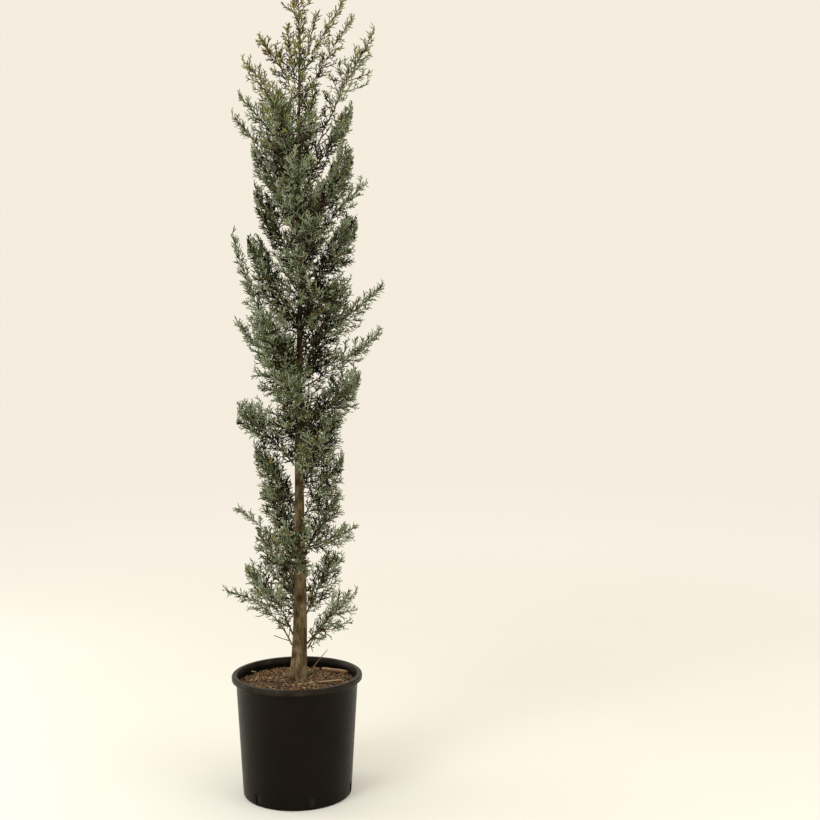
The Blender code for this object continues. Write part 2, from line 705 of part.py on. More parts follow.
def build_mass(name, index, shoot, spaces, material):
    """One shoot's foliage: a stem that ends in a spray, and pairs of twigs, one toothed and one plain."""
    rng = random.Random(f"{TREE_SEED} {name}")
    first = shoot.leafy_from()
    toothed, plain = shoot.habit["sprays"]
    length = (shoot.tip - shoot.point(first)).length
    last = max(LEAST_STEM, 1 - END_SPRAY_OVERLAP * toothed["length"] / length)
    shares = [first + (last - first) * k / STEM_STEPS for k in range(STEM_STEPS + 1)]
    centres = [shoot.point(share) for share in shares]
    radii = [max(SHOOT_TIP_RADIUS, shoot.radius(share)) for share in shares]
    if shoot.bare > shoot.start:
        centres[0] = centres[0] + shoot.tangent(first) * CLEARANCE
    end = shoot.tip - centres[-1]
    across, _ = frame_round(end)
    size = end.length / toothed["length"]
    points, faces = leafy_twig(centres, radii, end.normalized(), across, toothed, size)
    if shoot.bare <= shoot.start and not isinstance(shoot, Leader):
        cut_root(points[:3], centres[0], shoot.tangent(first), shoot.outward)
    middle = shoot.point((1 + first) / 2)
    stem = make_object(name, points, faces, material, origin=middle)
    parts = bpy.data.collections.new(name + "_parts")
    bpy.context.scene.collection.children.link(parts)
    for root, way, out, angle, size, radius in twig_sites(shoot, rng):
        for side, spray, bare in ((1, toothed, TWIG_LENGTH), (-1, plain, 0)):
            direction = (way * math.cos(angle) + out * side * math.sin(angle)).normalized()
            across = (way.cross(out) + out * rng.uniform(-SPRAY_ROLL, SPRAY_ROLL)).normalized()
            twig = fitted_twig(index, spaces, root, direction, across, radius, bare, spray, size)
            if twig:
                make_object("twig", *twig, material, parts, middle)
    if shoot.habit["core"]:
        make_object("core", *core_body(index, shoot, spaces), material, parts, middle)
    join(stem, parts, "UNION", "MANIFOLD")
    split_into_triangles(stem)
    keep_largest_shell(stem)
    return stem


def cut_root(ring, centre, way, normal):
    """Moves a root ring's points along way into the plane through centre with this normal."""
    for point in ring:
        point -= way * ((point - centre).dot(normal) / way.dot(normal))


def build_bough(name, shoot, material):
    """The bare start of a shoot, cut parallel to the trunk at its root and square at its tip."""
    shares = [shoot.start + (shoot.bare - shoot.start) * k / BOUGH_STEPS for k in range(BOUGH_STEPS + 1)]
    centres = [shoot.point(share) for share in shares]
    radii = [shoot.radius(share) for share in shares]
    points, faces = tube(centres, radii, BOUGH_SIDES)
    cut_root(points[:BOUGH_SIDES], centres[0], shoot.tangent(shoot.start), shoot.outward)
    return shade_round(make_object(name, points, faces, material))


def main():
    clear_scene()
    bark = make_material("bark", *BARK)
    foliage = make_material("foliage", *FOLIAGE)
    build_pot(make_material("pot_plastic", *POT_PLASTIC))
    build_soil(make_material("compost", *COMPOST))
    build_trunk(bark)
    shoots = grow_shoots()
    spaces = Spaces(shoots)
    bough_count = 0
    for index, shoot in enumerate(shoots):
        if shoot.bare > shoot.start:
            bough_count += 1
            build_bough(f"bough_{bough_count:02d}", shoot, bark)
        build_mass(f"foliage_{index + 1:02d}", index, shoot, spaces, foliage)


main()
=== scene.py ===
"""The looks of a young Arizona cypress in a round nursery pot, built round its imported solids, in metres.

The shoots follow the rule that the solids follow, written again here and carried on to fine twigs. Every
twig, spray and branchlet keeps to its own mass's space. +X is to the right and +Y away, seen from the front.
"""

import json
import math
import random

import bpy
import numpy as np
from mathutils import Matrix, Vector, noise

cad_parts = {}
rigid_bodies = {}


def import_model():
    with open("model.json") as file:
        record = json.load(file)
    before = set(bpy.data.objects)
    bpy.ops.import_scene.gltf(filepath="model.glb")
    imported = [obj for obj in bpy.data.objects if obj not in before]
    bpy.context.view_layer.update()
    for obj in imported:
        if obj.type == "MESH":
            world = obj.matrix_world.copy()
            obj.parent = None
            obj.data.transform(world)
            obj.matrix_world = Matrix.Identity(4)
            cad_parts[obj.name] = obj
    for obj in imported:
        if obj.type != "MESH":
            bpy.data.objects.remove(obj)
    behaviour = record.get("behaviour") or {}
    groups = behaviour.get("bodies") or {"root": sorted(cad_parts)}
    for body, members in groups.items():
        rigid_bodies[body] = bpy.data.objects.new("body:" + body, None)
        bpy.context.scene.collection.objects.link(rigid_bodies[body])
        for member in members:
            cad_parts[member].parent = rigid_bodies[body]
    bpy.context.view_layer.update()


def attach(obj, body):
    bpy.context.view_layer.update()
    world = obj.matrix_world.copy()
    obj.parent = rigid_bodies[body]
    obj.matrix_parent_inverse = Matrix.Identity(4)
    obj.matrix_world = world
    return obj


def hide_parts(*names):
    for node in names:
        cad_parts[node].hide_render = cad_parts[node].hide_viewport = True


# Camera, fitted to the photograph
CAMERA_PLACE = (0.2655, -2.818, 1.071)
CAMERA_TILT = math.radians(86.6)
CAMERA_LENS_MM = 53.34
SENSOR_MM = 36.0

# Light: the surroundings, and each lamp's place, the point it faces, its width and its watts
SURROUNDINGS = (0.93, 0.865, 0.750, 1)
SURROUNDINGS_STRENGTH = 0.98
LIGHTS = {
    "key": ((-1.6, -2.2, 2.6), (0.0, 0.0, 1.0), 1.4, 38),
    "fill": ((2.2, -1.4, 1.6), (0.0, 0.0, 0.8), 1.6, 16),
    "edge": ((-2.4, 0.5, 0.9), (0.0, 0.0, 0.4), 1.2, 16),
}

# Floor, with painted light that pales it with distance
FLOOR_RADIUS = 6.0
FLOOR_THICKNESS = 0.002
FLOOR_SIDES = 96
FLOOR_STOPS = ((0.3, (0.860, 0.856, 0.805)), (0.7, (0.880, 0.875, 0.825)))
FLOOR_PAINTED_LIGHT_RANGE = (0.8, 4.0)
PAINTED_FAR_FLOOR_LIGHT = (0.985, 0.985, 0.985, 1)

# Pot, as in the solids
POT_HEIGHT = 0.2845
POT_RIM_RADIUS = 0.1528
POT_NECK_RADIUS = 0.1425
POT_BASE_RADIUS = 0.1269
POT_WALL = 0.0028
LIP_HEIGHT = 0.0130
LIP_ROUNDING = 0.0050
BASE_ROUNDING = 0.0050
DRAIN_SLOTS = 6
DRAIN_SLOT_WIDTH = 0.018
DRAIN_SLOT_HEIGHT = 0.026
DRAIN_SLOT_DEPTH = 0.012
DRAIN_SLOT_TURN = math.radians(-69.5)

# The pot's mesh, with the small steps of its profile
POT_SIDES = 144
WALL_FROM = 0.02
NECK_EASE = 0.004
NECK_STEP = 0.0006
LIP_UNDERCUT = 0.0016
LIP_FOOT = (0.0003, 0.0012)
LIP_INNER_EDGE = (0.0012, 0.0014)
SHARP_ANGLE = math.radians(40)

# Pot plastic, with dust and a painted highlight on its lip
PLASTIC_STOPS = ((0.40, (0.002, 0.0014, 0.0009)), (0.75, (0.0044, 0.0031, 0.0021)))
LIP_DUST_AND_HIGHLIGHT_STOPS = ((0.35, (0.007, 0.0055, 0.0042)), (0.70, (0.024, 0.019, 0.014)))
LIP_DUST_AND_HIGHLIGHT_HEIGHTS = (POT_HEIGHT - LIP_HEIGHT - 0.002, POT_HEIGHT - LIP_HEIGHT + 0.004)
SCUFF_STOPS = ((0.35, (0.34, 0.34, 0.34)), (0.70, (0.46, 0.46, 0.46)))
PLASTIC_FINISH = {
    "Specular IOR Level": 0.11,
    "Specular Tint": (1.0, 0.84, 0.66, 1),
    "Sheen Weight": 0.012,
    "Sheen Roughness": 0.35,
    "Sheen Tint": (1.0, 0.86, 0.66, 1),
}

# Compost, as in the solids
SOIL_EDGE_HEIGHT = 0.260
SOIL_MOUND = 0.008
SOIL_SEAT_RADIUS = 0.034
SOIL_STEEPENING = 1.5

# Compost's mesh, its lumps as height, fineness and offset, and its colours, with painted shade downwards
SOIL_RINGS = 44
SOIL_SIDES = 110
SOIL_LUMPS = ((0.0022, 60, 1), (0.0012, 170, 4))
SOIL_SINK = 0.0015
COMPOST_STOPS = ((0.30, (0.020, 0.012, 0.008)), (0.50, (0.070, 0.036, 0.020)), (0.70, (0.150, 0.085, 0.048)))
COMPOST_SHADE_HEIGHTS = (SOIL_EDGE_HEIGHT - 0.01, SOIL_EDGE_HEIGHT - 0.06)
PAINTED_SLOT_SHADE = (0.04, 0.03, 0.025, 1)

# Trunk, as in the solids
TRUNK_X = 0.005
TRUNK_TOP = 1.740
TRUNK_LEAN = 0.009
TRUNK_FOOT_RADIUS = 0.0175
TRUNK_TOP_RADIUS = 0.0026
TRUNK_TAPER = 1.68
FLARE_RADIUS = 0.0055
FLARE_HEIGHT = 0.075
TRUNK_SWAY_X = 0.0015
TRUNK_SWAYS_X = 1.3
TRUNK_SWAY_Y = 0.0050
TRUNK_SWAYS_Y = 0.8

# Crown and shoots, as in the solids
TREE_HEIGHT = 1.895
FILL_FROM = 0.84
CROWN_SHOULDER = 1.60
CROWN_RADIUS = 0.132
CROWN_TOP_RADIUS = 0.036
LEAN_OUT_LOW = 1.15
LEAN_OUT_HIGH = 2.10
REACH_RANGE = (0.86, 1.06)
LEAN_RANGE = (0.9, 1.1)
TURN_SPREAD = 0.22
LEAST_REACH_OF_SPACE = 0.107
LEADER_LEAN = -0.004
FILL_SHOOTS = 14
FILL_TOP = 1.74
FILL_TURNS = tuple(math.radians(turn) for turn in (-62, 90, -90, 118, -118, 62, -90))
GOLDEN_ANGLE = math.radians(137.508)
CLEARANCE = 0.0003
TREE_SEED = 11
FRONT_GAPS = ((0.25, 0.53), (0.63, 0.77))
FRONT_GAP_HALF_WIDTH = 0.0145
SHOOT_STEPS = 8
USUAL_SWEEP = -0.08
SHOOT_ROOT_RADIUS = 0.0042
SHOOT_TIP_RADIUS = 0.0009
SHOOT_TAPER = 0.8
ROOT_SHARE_OF_TRUNK = 0.42
ROOT_SEARCH_TO = 0.5
ROOT_SEARCH_STEP = 0.001
ROOT_CUT_DROP = 0.010
SPACE_MARGIN = 0.0018
LIMB_MARGIN = 0.0036
SOIL_MARGIN = 0.010
DENSE_TO = 1.65

# How a mass grows: how far from its stem, the length of its twigs, how soon they shorten towards the tip, and
# the steps between twigs and between the sprays on a twig
SPRIG = {"radius": 0.030, "twig": 0.040, "fall": 1.4, "twig_step": 0.0105, "spray_step": 0.0080}
PLUME = {"radius": 0.042, "twig": 0.062, "fall": 1.4, "twig_step": 0.0072, "spray_step": 0.0076}
AIRY = {"radius": 0.056, "twig": 0.076, "fall": 1.4, "twig_step": 0.0105, "spray_step": 0.0084}
OPEN = {"radius": 0.072, "twig": 0.104, "fall": 1.9, "twig_step": 0.0051, "spray_step": 0.0074}
DENSE = {"radius": 0.090, "twig": 0.124, "fall": 2.2, "twig_step": 0.0038, "spray_step": 0.0074}
VEIL = {"radius": 0.072, "twig": 0.104, "fall": 1.9, "twig_step": 0.0030, "spray_step": 0.0062}

# Placed shoots, lowest first: how they grow, degrees round the trunk from +X, the tip's reach from the
# trunk's axis and its height, the height where it leaves the trunk, its sweep outwards before it rises
# and the share that is bare bough. The last two can be left out.
PLACED = (
    (AIRY, 20, 0.100, 0.446, 0.300, -0.10, 0.34),
    (AIRY, -14, 0.139, 0.484, 0.330, -0.05, 0.30),
    (SPRIG, 186, 0.182, 0.485, 0.290, -0.33, 0.32),
    (OPEN, 30, 0.088, 0.545, 0.385, -0.06),
    (OPEN, 110, 0.100, 0.520, 0.370),
    (OPEN, 200, 0.132, 0.535, 0.320, -0.22),
    (OPEN, 160, 0.110, 0.610, 0.430, -0.10),
    (VEIL, -100, 0.100, 0.634, 0.500),
    (PLUME, -25, 0.150, 0.640, 0.575, 0.05),
    (SPRIG, 174, 0.160, 0.674, 0.450, -0.25, 0.34),
    (OPEN, 40, 0.110, 0.690, 0.540),
    (VEIL, 140, 0.106, 0.710, 0.540),
    (OPEN, 8, 0.098, 0.785, 0.630),
    (DENSE, 196, 0.100, 0.802, 0.640, -0.20),
    (DENSE, -18, 0.100, 0.885, 0.710, -0.18),
    (OPEN, 176, 0.146, 0.904, 0.760),
    (DENSE, 6, 0.144, 0.972, 0.830),
    (PLUME, -10, 0.196, 1.090, 0.950, 0.06),
    (PLUME, 188, 0.152, 1.110, 0.925),
    (PLUME, 14, 0.200, 1.195, 1.045, 0.04),
    (DENSE, 186, 0.122, 1.285, 1.075),
    (PLUME, 172, 0.163, 1.323, 0.985, 0.14),
    (DENSE, 3, 0.134, 1.330, 1.140),
    (DENSE, 188, 0.104, 1.400, 1.210),
    (AIRY, -8, 0.160, 1.430, 1.240),
    (DENSE, 4, 0.126, 1.490, 1.270),
    (OPEN, 190, 0.112, 1.500, 1.310),
    (AIRY, 176, 0.158, 1.584, 1.350, -0.10),
    (OPEN, 6, 0.124, 1.600, 1.390, -0.04),
    (AIRY, 204, 0.144, 1.615, 1.430, -0.10),
    (AIRY, 166, 0.142, 1.716, 1.500, -0.12),
    (AIRY, 160, 0.108, 1.770, 1.600, -0.10),
    (AIRY, 4, 0.172, 1.776, 1.420, -0.03, 0.34),
    (AIRY, 200, 0.030, 1.775, 1.580, -0.04),
    (SPRIG, -30, 0.046, 1.800, 1.630, -0.04),
    (SPRIG, 24, 0.136, 1.822, 1.600, -0.02),
    (SPRIG, -20, 0.118, 1.842, 1.665, 0.00),
)

# Bark chips: the light and dark colour of each tone, its share, their sizes and how they lie
CHIP_TONES = {
    "chip_brown": ((0.235, 0.140, 0.062), (0.105, 0.056, 0.024)),
    "chip_dark": ((0.032, 0.018, 0.009), (0.011, 0.006, 0.004)),
    "chip_red": ((0.290, 0.140, 0.058), (0.150, 0.066, 0.028)),
    "chip_tan": ((0.520, 0.390, 0.215), (0.330, 0.225, 0.110)),
}
CHIP_SHARES = (0.34, 0.30, 0.22, 0.14)
CHIPS = 4600
CHIP_SPREAD = 0.985
CHIP_LENGTH_SHAPE = 4
CHIP_LENGTH_SCALE = 0.0019
LEAST_CHIP_LENGTH = 0.003
CHIP_WIDTHS = (0.0010, 0.0032)
CHIP_THICKNESSES = (0.0006, 0.0016)
CHIP_SQUASH = (0.55, 1.0)
CHIP_TIP = 0.38
CHIP_ROLL = 0.5
CHIP_LIFT = 0.6
CHIP_PILE = 0.0016

# Sticks: their ends, thickness and tone
STICK_SIDES = 7
STICK_SAG = 0.0015
STICK_TAPER = 0.45
STICK_WAVE = 0.18
STICK_WAVES = 9
STICKS = (
    ((0.008, -0.034, 0.2655), (0.110, 0.004, 0.2660), 0.0024, 3),
    ((0.052, 0.100, 0.2660), (0.118, 0.078, 0.2650), 0.0030, 3),
    ((0.056, 0.096, 0.2640), (0.112, 0.074, 0.2630), 0.0042, 2),
    ((0.016, 0.018, 0.2660), (0.072, 0.040, 0.3320), 0.0015, 0),
    ((-0.127, 0.080, 0.2640), (-0.104, 0.070, 0.2655), 0.0018, 3),
    ((-0.098, -0.052, 0.2640), (-0.060, -0.072, 0.2645), 0.0016, 3),
    ((-0.030, -0.100, 0.2640), (0.018, -0.088, 0.2650), 0.0014, 2),
)

# Fine growth. Angles are from the axis that carries the new one, at its root and at its tip.
TWIG_SPAN = (0.02, 0.94)
TWIG_ANGLES = (math.radians(62), math.radians(28))
LEAST_TWIG = 0.32
SPRAY_SPAN = (0.10, 0.96)
SPRAY_ANGLES = (math.radians(52), math.radians(36))
SPRAY_OF_TWIG = 0.44
STEM_SPRAY_LENGTH = 0.030
LEAF_SPAN = (0.06, 0.98)
LEAF_ANGLES = (math.radians(46), math.radians(30))
LEAF_STEP = 0.0046
LEAF_LENGTH = 0.0150
SHORTER_TO_TIP = 0.55
COUNT_SPREAD = (0.2, 0.8)
LEAST_ON_STEM = 4
LENGTH_RANGE = (0.80, 1.15)
FIT_SIZES = (1.0, 0.85, 0.7, 0.55, 0.42, 0.3)
FIT_SAMPLES = (0.35, 0.7, 1.0)
LEAST_OF_CUT = 0.78
UPWARD_BEND = 0.10
BEND_SPREAD = 0.07
TURN_JITTER = 0.5
END_SPRAY_FROM = 0.5
BARE_TWIG_STEP = 0.0085
BARE_TWIG_LENGTH = 0.042
TRUNK_TWIG_HEIGHTS = (0.93, 1.20)
TRUNK_TWIG_STEP = 0.0045
TRUNK_TWIG_LENGTH = 0.064
TRUNK_TWIG_RISE = 0.5

# Tubes: the shares of the length at their rings and tip, the radius at each ring, and the sides
TWIG_TUBE = ((0, 0.25, 0.5, 0.75, 1), np.linspace(0.0013, 0.0006, 4), 4)
SPRAY_TUBE = ((0, 0.45, 0.9, 1), 0.00115 * np.array([0.85, 0.95, 0.75]), 3)
LEAF_TUBE = ((0, 0.5, 0.9, 1), 0.00105 * np.array([0.75, 1.0, 0.8]), 3)
STEM_SIDES = 6
BOUGH_SIDES = 12
STEM_THINNESS = 0.66
STEM_RINGS = 12
MOST_TRIANGLES = 190_000

# Tones of the branchlets, each as two close base colours, and what counts as inside the crown, high or low in
# it, or in a dark band. The shade tone is painted shade, most of it inside the crown and in the dark bands.
INSIDE_AT_STEM = 1.45
INSIDE_DEPTH = 0.074
HIGH_FROM = 1.45
HIGH_RISE = 0.30
LOW_TO = 0.90
LOW_RISE = 0.30
PAINTED_SHADE_BANDS = ((1.245, 0.075), (0.80, 0.055))
TONES = {
    "glaucous": ((0.335, 0.385, 0.250), (0.235, 0.275, 0.172)),
    "grey_green": ((0.185, 0.218, 0.112), (0.115, 0.138, 0.066)),
    "green": ((0.120, 0.138, 0.044), (0.068, 0.080, 0.022)),
    "olive": ((0.340, 0.315, 0.105), (0.215, 0.200, 0.062)),
    "shade": ((0.014, 0.014, 0.005), (0.007, 0.007, 0.002)),
    "russet": ((0.100, 0.052, 0.020), (0.046, 0.023, 0.009)),
}

# The share of each tone anywhere, and what each place adds to it
TONE_SHARES = {
    "glaucous": {"anywhere": 0.02, "low": 0.10, "outside": 0.46, "high outside": -0.46, "low outside": 0.20},
    "grey_green": {"anywhere": 0.04, "outside": 0.32, "high outside": -0.224},
    "green": {"anywhere": 0.14, "high": 0.12},
    "olive": {"anywhere": 0.015, "low": 0.09, "high": 0.62},
    "shade": {
        "anywhere": 0.06, "high": -0.06, "dark": 0.30,
        "inside": 0.95, "low inside": -0.64, "high inside": -0.86,
    },
    "russet": {"anywhere": 0.03, "inside": 0.14, "low inside": 0.14},
}

# Wood of the twigs
TWIG_STOPS = ((0.35, (0.060, 0.042, 0.026)), (0.65, (0.120, 0.095, 0.055)))

# Mesh of the trunk, and the relief of its bark: its height as a share of the radius, its fineness round the
# trunk and along it, and an offset
TRUNK_RINGS = 420
TRUNK_SIDES = 40
RING_CROWDING = 1.15
BARK_RELIEF = ((0.035, 3.2, 22, 0), (0.022, 9, 70, 0), (0.05, 1.3, 9, 7))

# Spurs where the roots begin: side in degrees, how far they stand out, how narrow they are and how soon they
# fade upwards. Those below 0 are hollows.
ROOT_SPURS = (
    (218, 0.46, 10, 0.030),
    (268, 0.20, 14, 0.018),
    (300, 0.18, 10, 0.020),
    (90, 0.20, 6, 0.018),
    (244, -0.36, 60, 0.030),
    (0, -0.26, 3, 0.045),
)

# Knots in the bark: their places, how far round each the bark is darker, and by which colour
KNOTS = (
    (-0.013, -0.014, 0.272),
    (-0.004, -0.022, 0.262),
    (-0.008, -0.012, 0.330),
    (0.007, -0.015, 0.462),
    (-0.004, -0.016, 0.424),
    (0.004, -0.013, 0.735),
)
KNOT_RADII = (0.016, 0.0048)
KNOT_COLOUR = (0.42, 0.30, 0.22, 1)

# Bark: patches, cracks along the stem, and painted shade inside the crown, from one height to another
BARK_STOPS = (
    (0.30, (0.050, 0.031, 0.012)),
    (0.45, (0.108, 0.078, 0.034)),
    (0.58, (0.205, 0.155, 0.090)),
    (0.72, (0.148, 0.122, 0.068)),
)
PATCH_STRETCH = (1, 1, 0.45)
CRACK_STOPS = ((0.36, (0.42, 0.36, 0.30)), (0.52, (1, 1, 1)))
CRACK_STRETCH = (1, 1, 0.22)
CRACK_STRENGTH = 0.85
BARK_SHADE_HEIGHTS = (0.66, 0.95)
PAINTED_CROWN_SHADE = (0.36, 0.35, 0.29, 1)


def make_mesh_object(name, points, faces, material):
    """A smooth mesh object from an array of points and an array of triangles."""
    mesh = bpy.data.meshes.new(name)
    mesh.vertices.add(len(points))
    mesh.vertices.foreach_set("co", np.asarray(points, np.float32).ravel())
    mesh.loops.add(faces.size)
    mesh.loops.foreach_set("vertex_index", faces.astype(np.int32).ravel())
    mesh.polygons.add(len(faces))
    mesh.polygons.foreach_set("loop_start", np.arange(0, faces.size, 3, dtype=np.int32))
    mesh.polygons.foreach_set("use_smooth", np.ones(len(faces), bool))
    mesh.update(calc_edges=True)
    mesh.materials.append(material)
    obj = bpy.data.objects.new(name, mesh)
    bpy.context.scene.collection.objects.link(obj)
    return obj


def place(obj, slot, *nodes):
    """Makes a piece ride on the plant and stand for CAD nodes, which it hides. The slot is not used."""
    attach(obj, "root")
    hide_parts(*nodes)


def unit(vectors):
    return vectors / np.linalg.norm(vectors, axis=-1, keepdims=True)


def frames_round(ways):
    """Two unit vectors across each direction of an array."""
    helper = np.where(np.abs(ways[:, 2:3]) < 0.9, [[0.0, 0.0, 1.0]], [[1.0, 0.0, 0.0]])
    side = unit(np.cross(ways, helper))
    return side, np.cross(ways, side)


def skin(counts):
    """Triangles over rings of points, by their counts. A count of 1 is a pole."""
    sides = max(counts)
    faces, first = [], 0
    for low, high in zip(counts, counts[1:]):
        second = first + low
        for k in range(sides):
            after = (k + 1) % sides
            if low > 1:
                faces.append((first + k, first + after, second + after % high))
            if high > 1:
                faces.append((first + k % low, second + after, second + k))
        first = second
    return np.array(faces)


def tubes(paths, radii, sides):
    """Points and triangles of closed tubes with pointed tips. paths is (count, rings + 1, 3)."""
    count, rings = radii.shape
    side, up = frames_round(unit(paths[:, -1] - paths[:, 0]))
    turns = 2 * math.pi * np.arange(sides) / sides
    spokes = side[:, None] * np.cos(turns)[:, None] + up[:, None] * np.sin(turns)[:, None]
    points = paths[:, :rings, None] + spokes[:, None] * radii[:, :, None, None]
    points = np.concatenate([points.reshape(count, rings * sides, 3), paths[:, -1:]], axis=1)
    foot = [(0, j + 1, j) for j in range(1, sides - 1)]
    faces = np.concatenate([skin([sides] * rings + [1]), foot])
    faces = faces + (rings * sides + 1) * np.arange(count)[:, None, None]
    return points.reshape(-1, 3), faces.reshape(-1, 3)


def trunk_foot():
    return SOIL_EDGE_HEIGHT + SOIL_MOUND + CLEARANCE


def trunk_axis(height):
    """The trunk's x and y at a height, or at an array of heights."""
    turns = 2 * math.pi * (height - trunk_foot())
    lean = TRUNK_LEAN * (height - trunk_foot()) / (TRUNK_TOP - trunk_foot())
    return (
        TRUNK_X + lean + TRUNK_SWAY_X * np.sin(TRUNK_SWAYS_X * turns),
        TRUNK_SWAY_Y * np.sin(TRUNK_SWAYS_Y * turns),
    )


def trunk_point(height):
    return np.array([*trunk_axis(height), height])


def trunk_radius(height):
    """The trunk's radius at a height, or at an array of heights."""
    share = np.clip((height - trunk_foot()) / (TRUNK_TOP - trunk_foot()), 0, 1)
    flare = FLARE_RADIUS * np.exp(-(height - trunk_foot()) / FLARE_HEIGHT)
    return TRUNK_TOP_RADIUS + (TRUNK_FOOT_RADIUS - TRUNK_TOP_RADIUS) * (1 - share) ** TRUNK_TAPER + flare


class Shoot:
    """A shoot's curve, from the trunk's axis to its tip, and where its bare bough ends."""

    def __init__(self, habit, angle, reach, tip_height, leaves_at, sweep=USUAL_SWEEP, bare=0.0):
        self.habit = habit
        self.outward = np.array([math.cos(angle), math.sin(angle), 0])
        self.reach = reach
        self.root = trunk_point(leaves_at)
        rise = tip_height - leaves_at
        axis = trunk_point(min(tip_height, TRUNK_TOP))
        self.tip = np.array([axis[0], axis[1], tip_height]) + self.outward * reach
        self.bend = self.root + self.outward * (0.5 + sweep) * reach + np.array([0, 0, (0.5 - sweep) * rise])
        self.bare = bare
        self.start = self.share_outside_trunk()
        self.root_radius = min(SHOOT_ROOT_RADIUS, trunk_radius(leaves_at) * ROOT_SHARE_OF_TRUNK)

    def points(self, shares):
        share = np.asarray(shares, float)[:, None]
        return self.root * (1 - share) ** 2 + self.bend * 2 * (1 - share) * share + self.tip * share**2

    def tangents(self, shares):
        share = np.asarray(shares, float)[:, None]
        return unit((self.bend - self.root) * (1 - share) + (self.tip - self.bend) * share)

    def radii(self, shares):
        return self.root_radius + (SHOOT_TIP_RADIUS - self.root_radius) * np.asarray(shares) ** SHOOT_TAPER

    def share_outside_trunk(self):
        """The first share of the curve at which a root cut parallel to the trunk is clear of it."""
        shares = np.arange(0, ROOT_SEARCH_TO, ROOT_SEARCH_STEP)
        points = self.points(shares)
        x, y = trunk_axis(points[:, 2])
        across = (points[:, 0] - x) * self.outward[0] + (points[:, 1] - y) * self.outward[1]
        clear = across >= trunk_radius(points[:, 2] - ROOT_CUT_DROP) + CLEARANCE
        return float(shares[clear.argmax()]) if clear.any() else ROOT_SEARCH_TO

    def leafy_from(self):
        return max(self.bare, self.start)

    def leafy_shares(self, count):
        return np.linspace(self.leafy_from(), 1, count)


class Leader(Shoot):
    """The tip of the tree, above the trunk's flat top."""

    def __init__(self):
        self.habit = PLUME
        self.outward = np.array([1.0, 0, 0])
        self.reach = CROWN_TOP_RADIUS
        self.root = trunk_point(TRUNK_TOP) + np.array([0, 0, CLEARANCE])
        self.tip = np.array([self.root[0] + LEADER_LEAN, self.root[1], TREE_HEIGHT])
        self.bend = (self.root + self.tip) / 2
        self.bare = self.start = 0.0
        self.root_radius = TRUNK_TOP_RADIUS


def crown_radius(height):
    """How far a shoot of the closed crown reaches at its tip's height."""
    share = max(0.0, height - CROWN_SHOULDER) / (TREE_HEIGHT - CROWN_SHOULDER)
    return CROWN_RADIUS + (CROWN_TOP_RADIUS - CROWN_RADIUS) * share


def grow_shoots():
    """The placed shoots, and between them those that close the crown in front and behind by turns."""
    rng = random.Random(TREE_SEED)
    placed = [Shoot(habit, math.radians(turn), *sizes) for habit, turn, *sizes in PLACED]
    fill = []
    for k in range(FILL_SHOOTS):
        up = k / (FILL_SHOOTS - 1)
        height = FILL_FROM + (FILL_TOP - FILL_FROM) * up
        angle = FILL_TURNS[k % len(FILL_TURNS)] + rng.uniform(-TURN_SPREAD, TURN_SPREAD)
        reach = crown_radius(height) * rng.uniform(*REACH_RANGE)
        lean = LEAN_OUT_LOW + (LEAN_OUT_HIGH - LEAN_OUT_LOW) * up
        leaves_at = height - reach * lean * rng.uniform(*LEAN_RANGE)
        habit = DENSE if height < DENSE_TO else AIRY
        fill.append(Shoot(habit, angle, reach, height, leaves_at))
    return [*sorted(placed + fill, key=lambda shoot: shoot.tip[2]), Leader()]


def line_distances(points, line):
    """The least distance from each point to a polyline."""
    start = line[:-1][None]
    way = (line[1:] - line[:-1])[None]
    offset = points[:, None] - start
    share = np.clip((offset * way).sum(2) / (way * way).sum(2), 0, 1)
    return np.linalg.norm(offset - share[..., None] * way, axis=2).min(1)


class Spaces:
    """Which mass a point belongs to: the one whose stem is nearest as a share of that mass's radius."""

    def __init__(self, shoots):
        self.lines = [shoot.points(shoot.leafy_shares(SHOOT_STEPS + 1)) for shoot in shoots]
        self.radii = [shoot.habit["radius"] for shoot in shoots]
        self.reaches = [max(shoot.reach, LEAST_REACH_OF_SPACE) for shoot in shoots]
        self.boughs = [
            (shoot.points(np.linspace(0, shoot.bare, SHOOT_STEPS)), shoot.root_radius)
            for shoot in shoots
            if shoot.bare > shoot.start
        ]
        self.neighbours = [
            [
                other
                for other, radius in enumerate(self.radii)
                if other != index and line_distances(line, self.lines[other]).min() < own + radius + own
            ]
            for index, (line, own) in enumerate(zip(self.lines, self.radii))
        ]

    def allows(self, index, places):
        """Whether each point of an array lies in the space of one mass."""
        heights = places[:, 2]
        allowed = (heights > trunk_foot() + SOIL_MARGIN) & (heights < TREE_HEIGHT)
        allowed &= ~(on_trunk(places) | in_front_gap(places))
        allowed &= distances_from_trunk(places) < self.reaches[index]
        own = line_distances(places, self.lines[index]) / self.radii[index]
        allowed &= own < 1
        margin = SPACE_MARGIN / min(self.radii)
        for other in self.neighbours[index]:
            allowed &= own + margin < line_distances(places, self.lines[other]) / self.radii[other]
        for line, radius in self.boughs:
            allowed &= line_distances(places, line) > radius + LIMB_MARGIN
        return allowed


def distances_from_trunk(places):
    x, y = trunk_axis(np.minimum(places[:, 2], TRUNK_TOP))
    return np.hypot(places[:, 0] - x, places[:, 1] - y)


def on_trunk(places):
    near = distances_from_trunk(places) < trunk_radius(places[:, 2]) + LIMB_MARGIN
    return near & (places[:, 2] < TRUNK_TOP + LIMB_MARGIN)


def in_front_gap(places):
    in_front = (places[:, 1] < 0) & (abs(places[:, 0] - TRUNK_X) < FRONT_GAP_HALF_WIDTH)
    heights = places[:, 2]
    return in_front & np.any([(low < heights) & (heights < high) for low, high in FRONT_GAPS], axis=0)


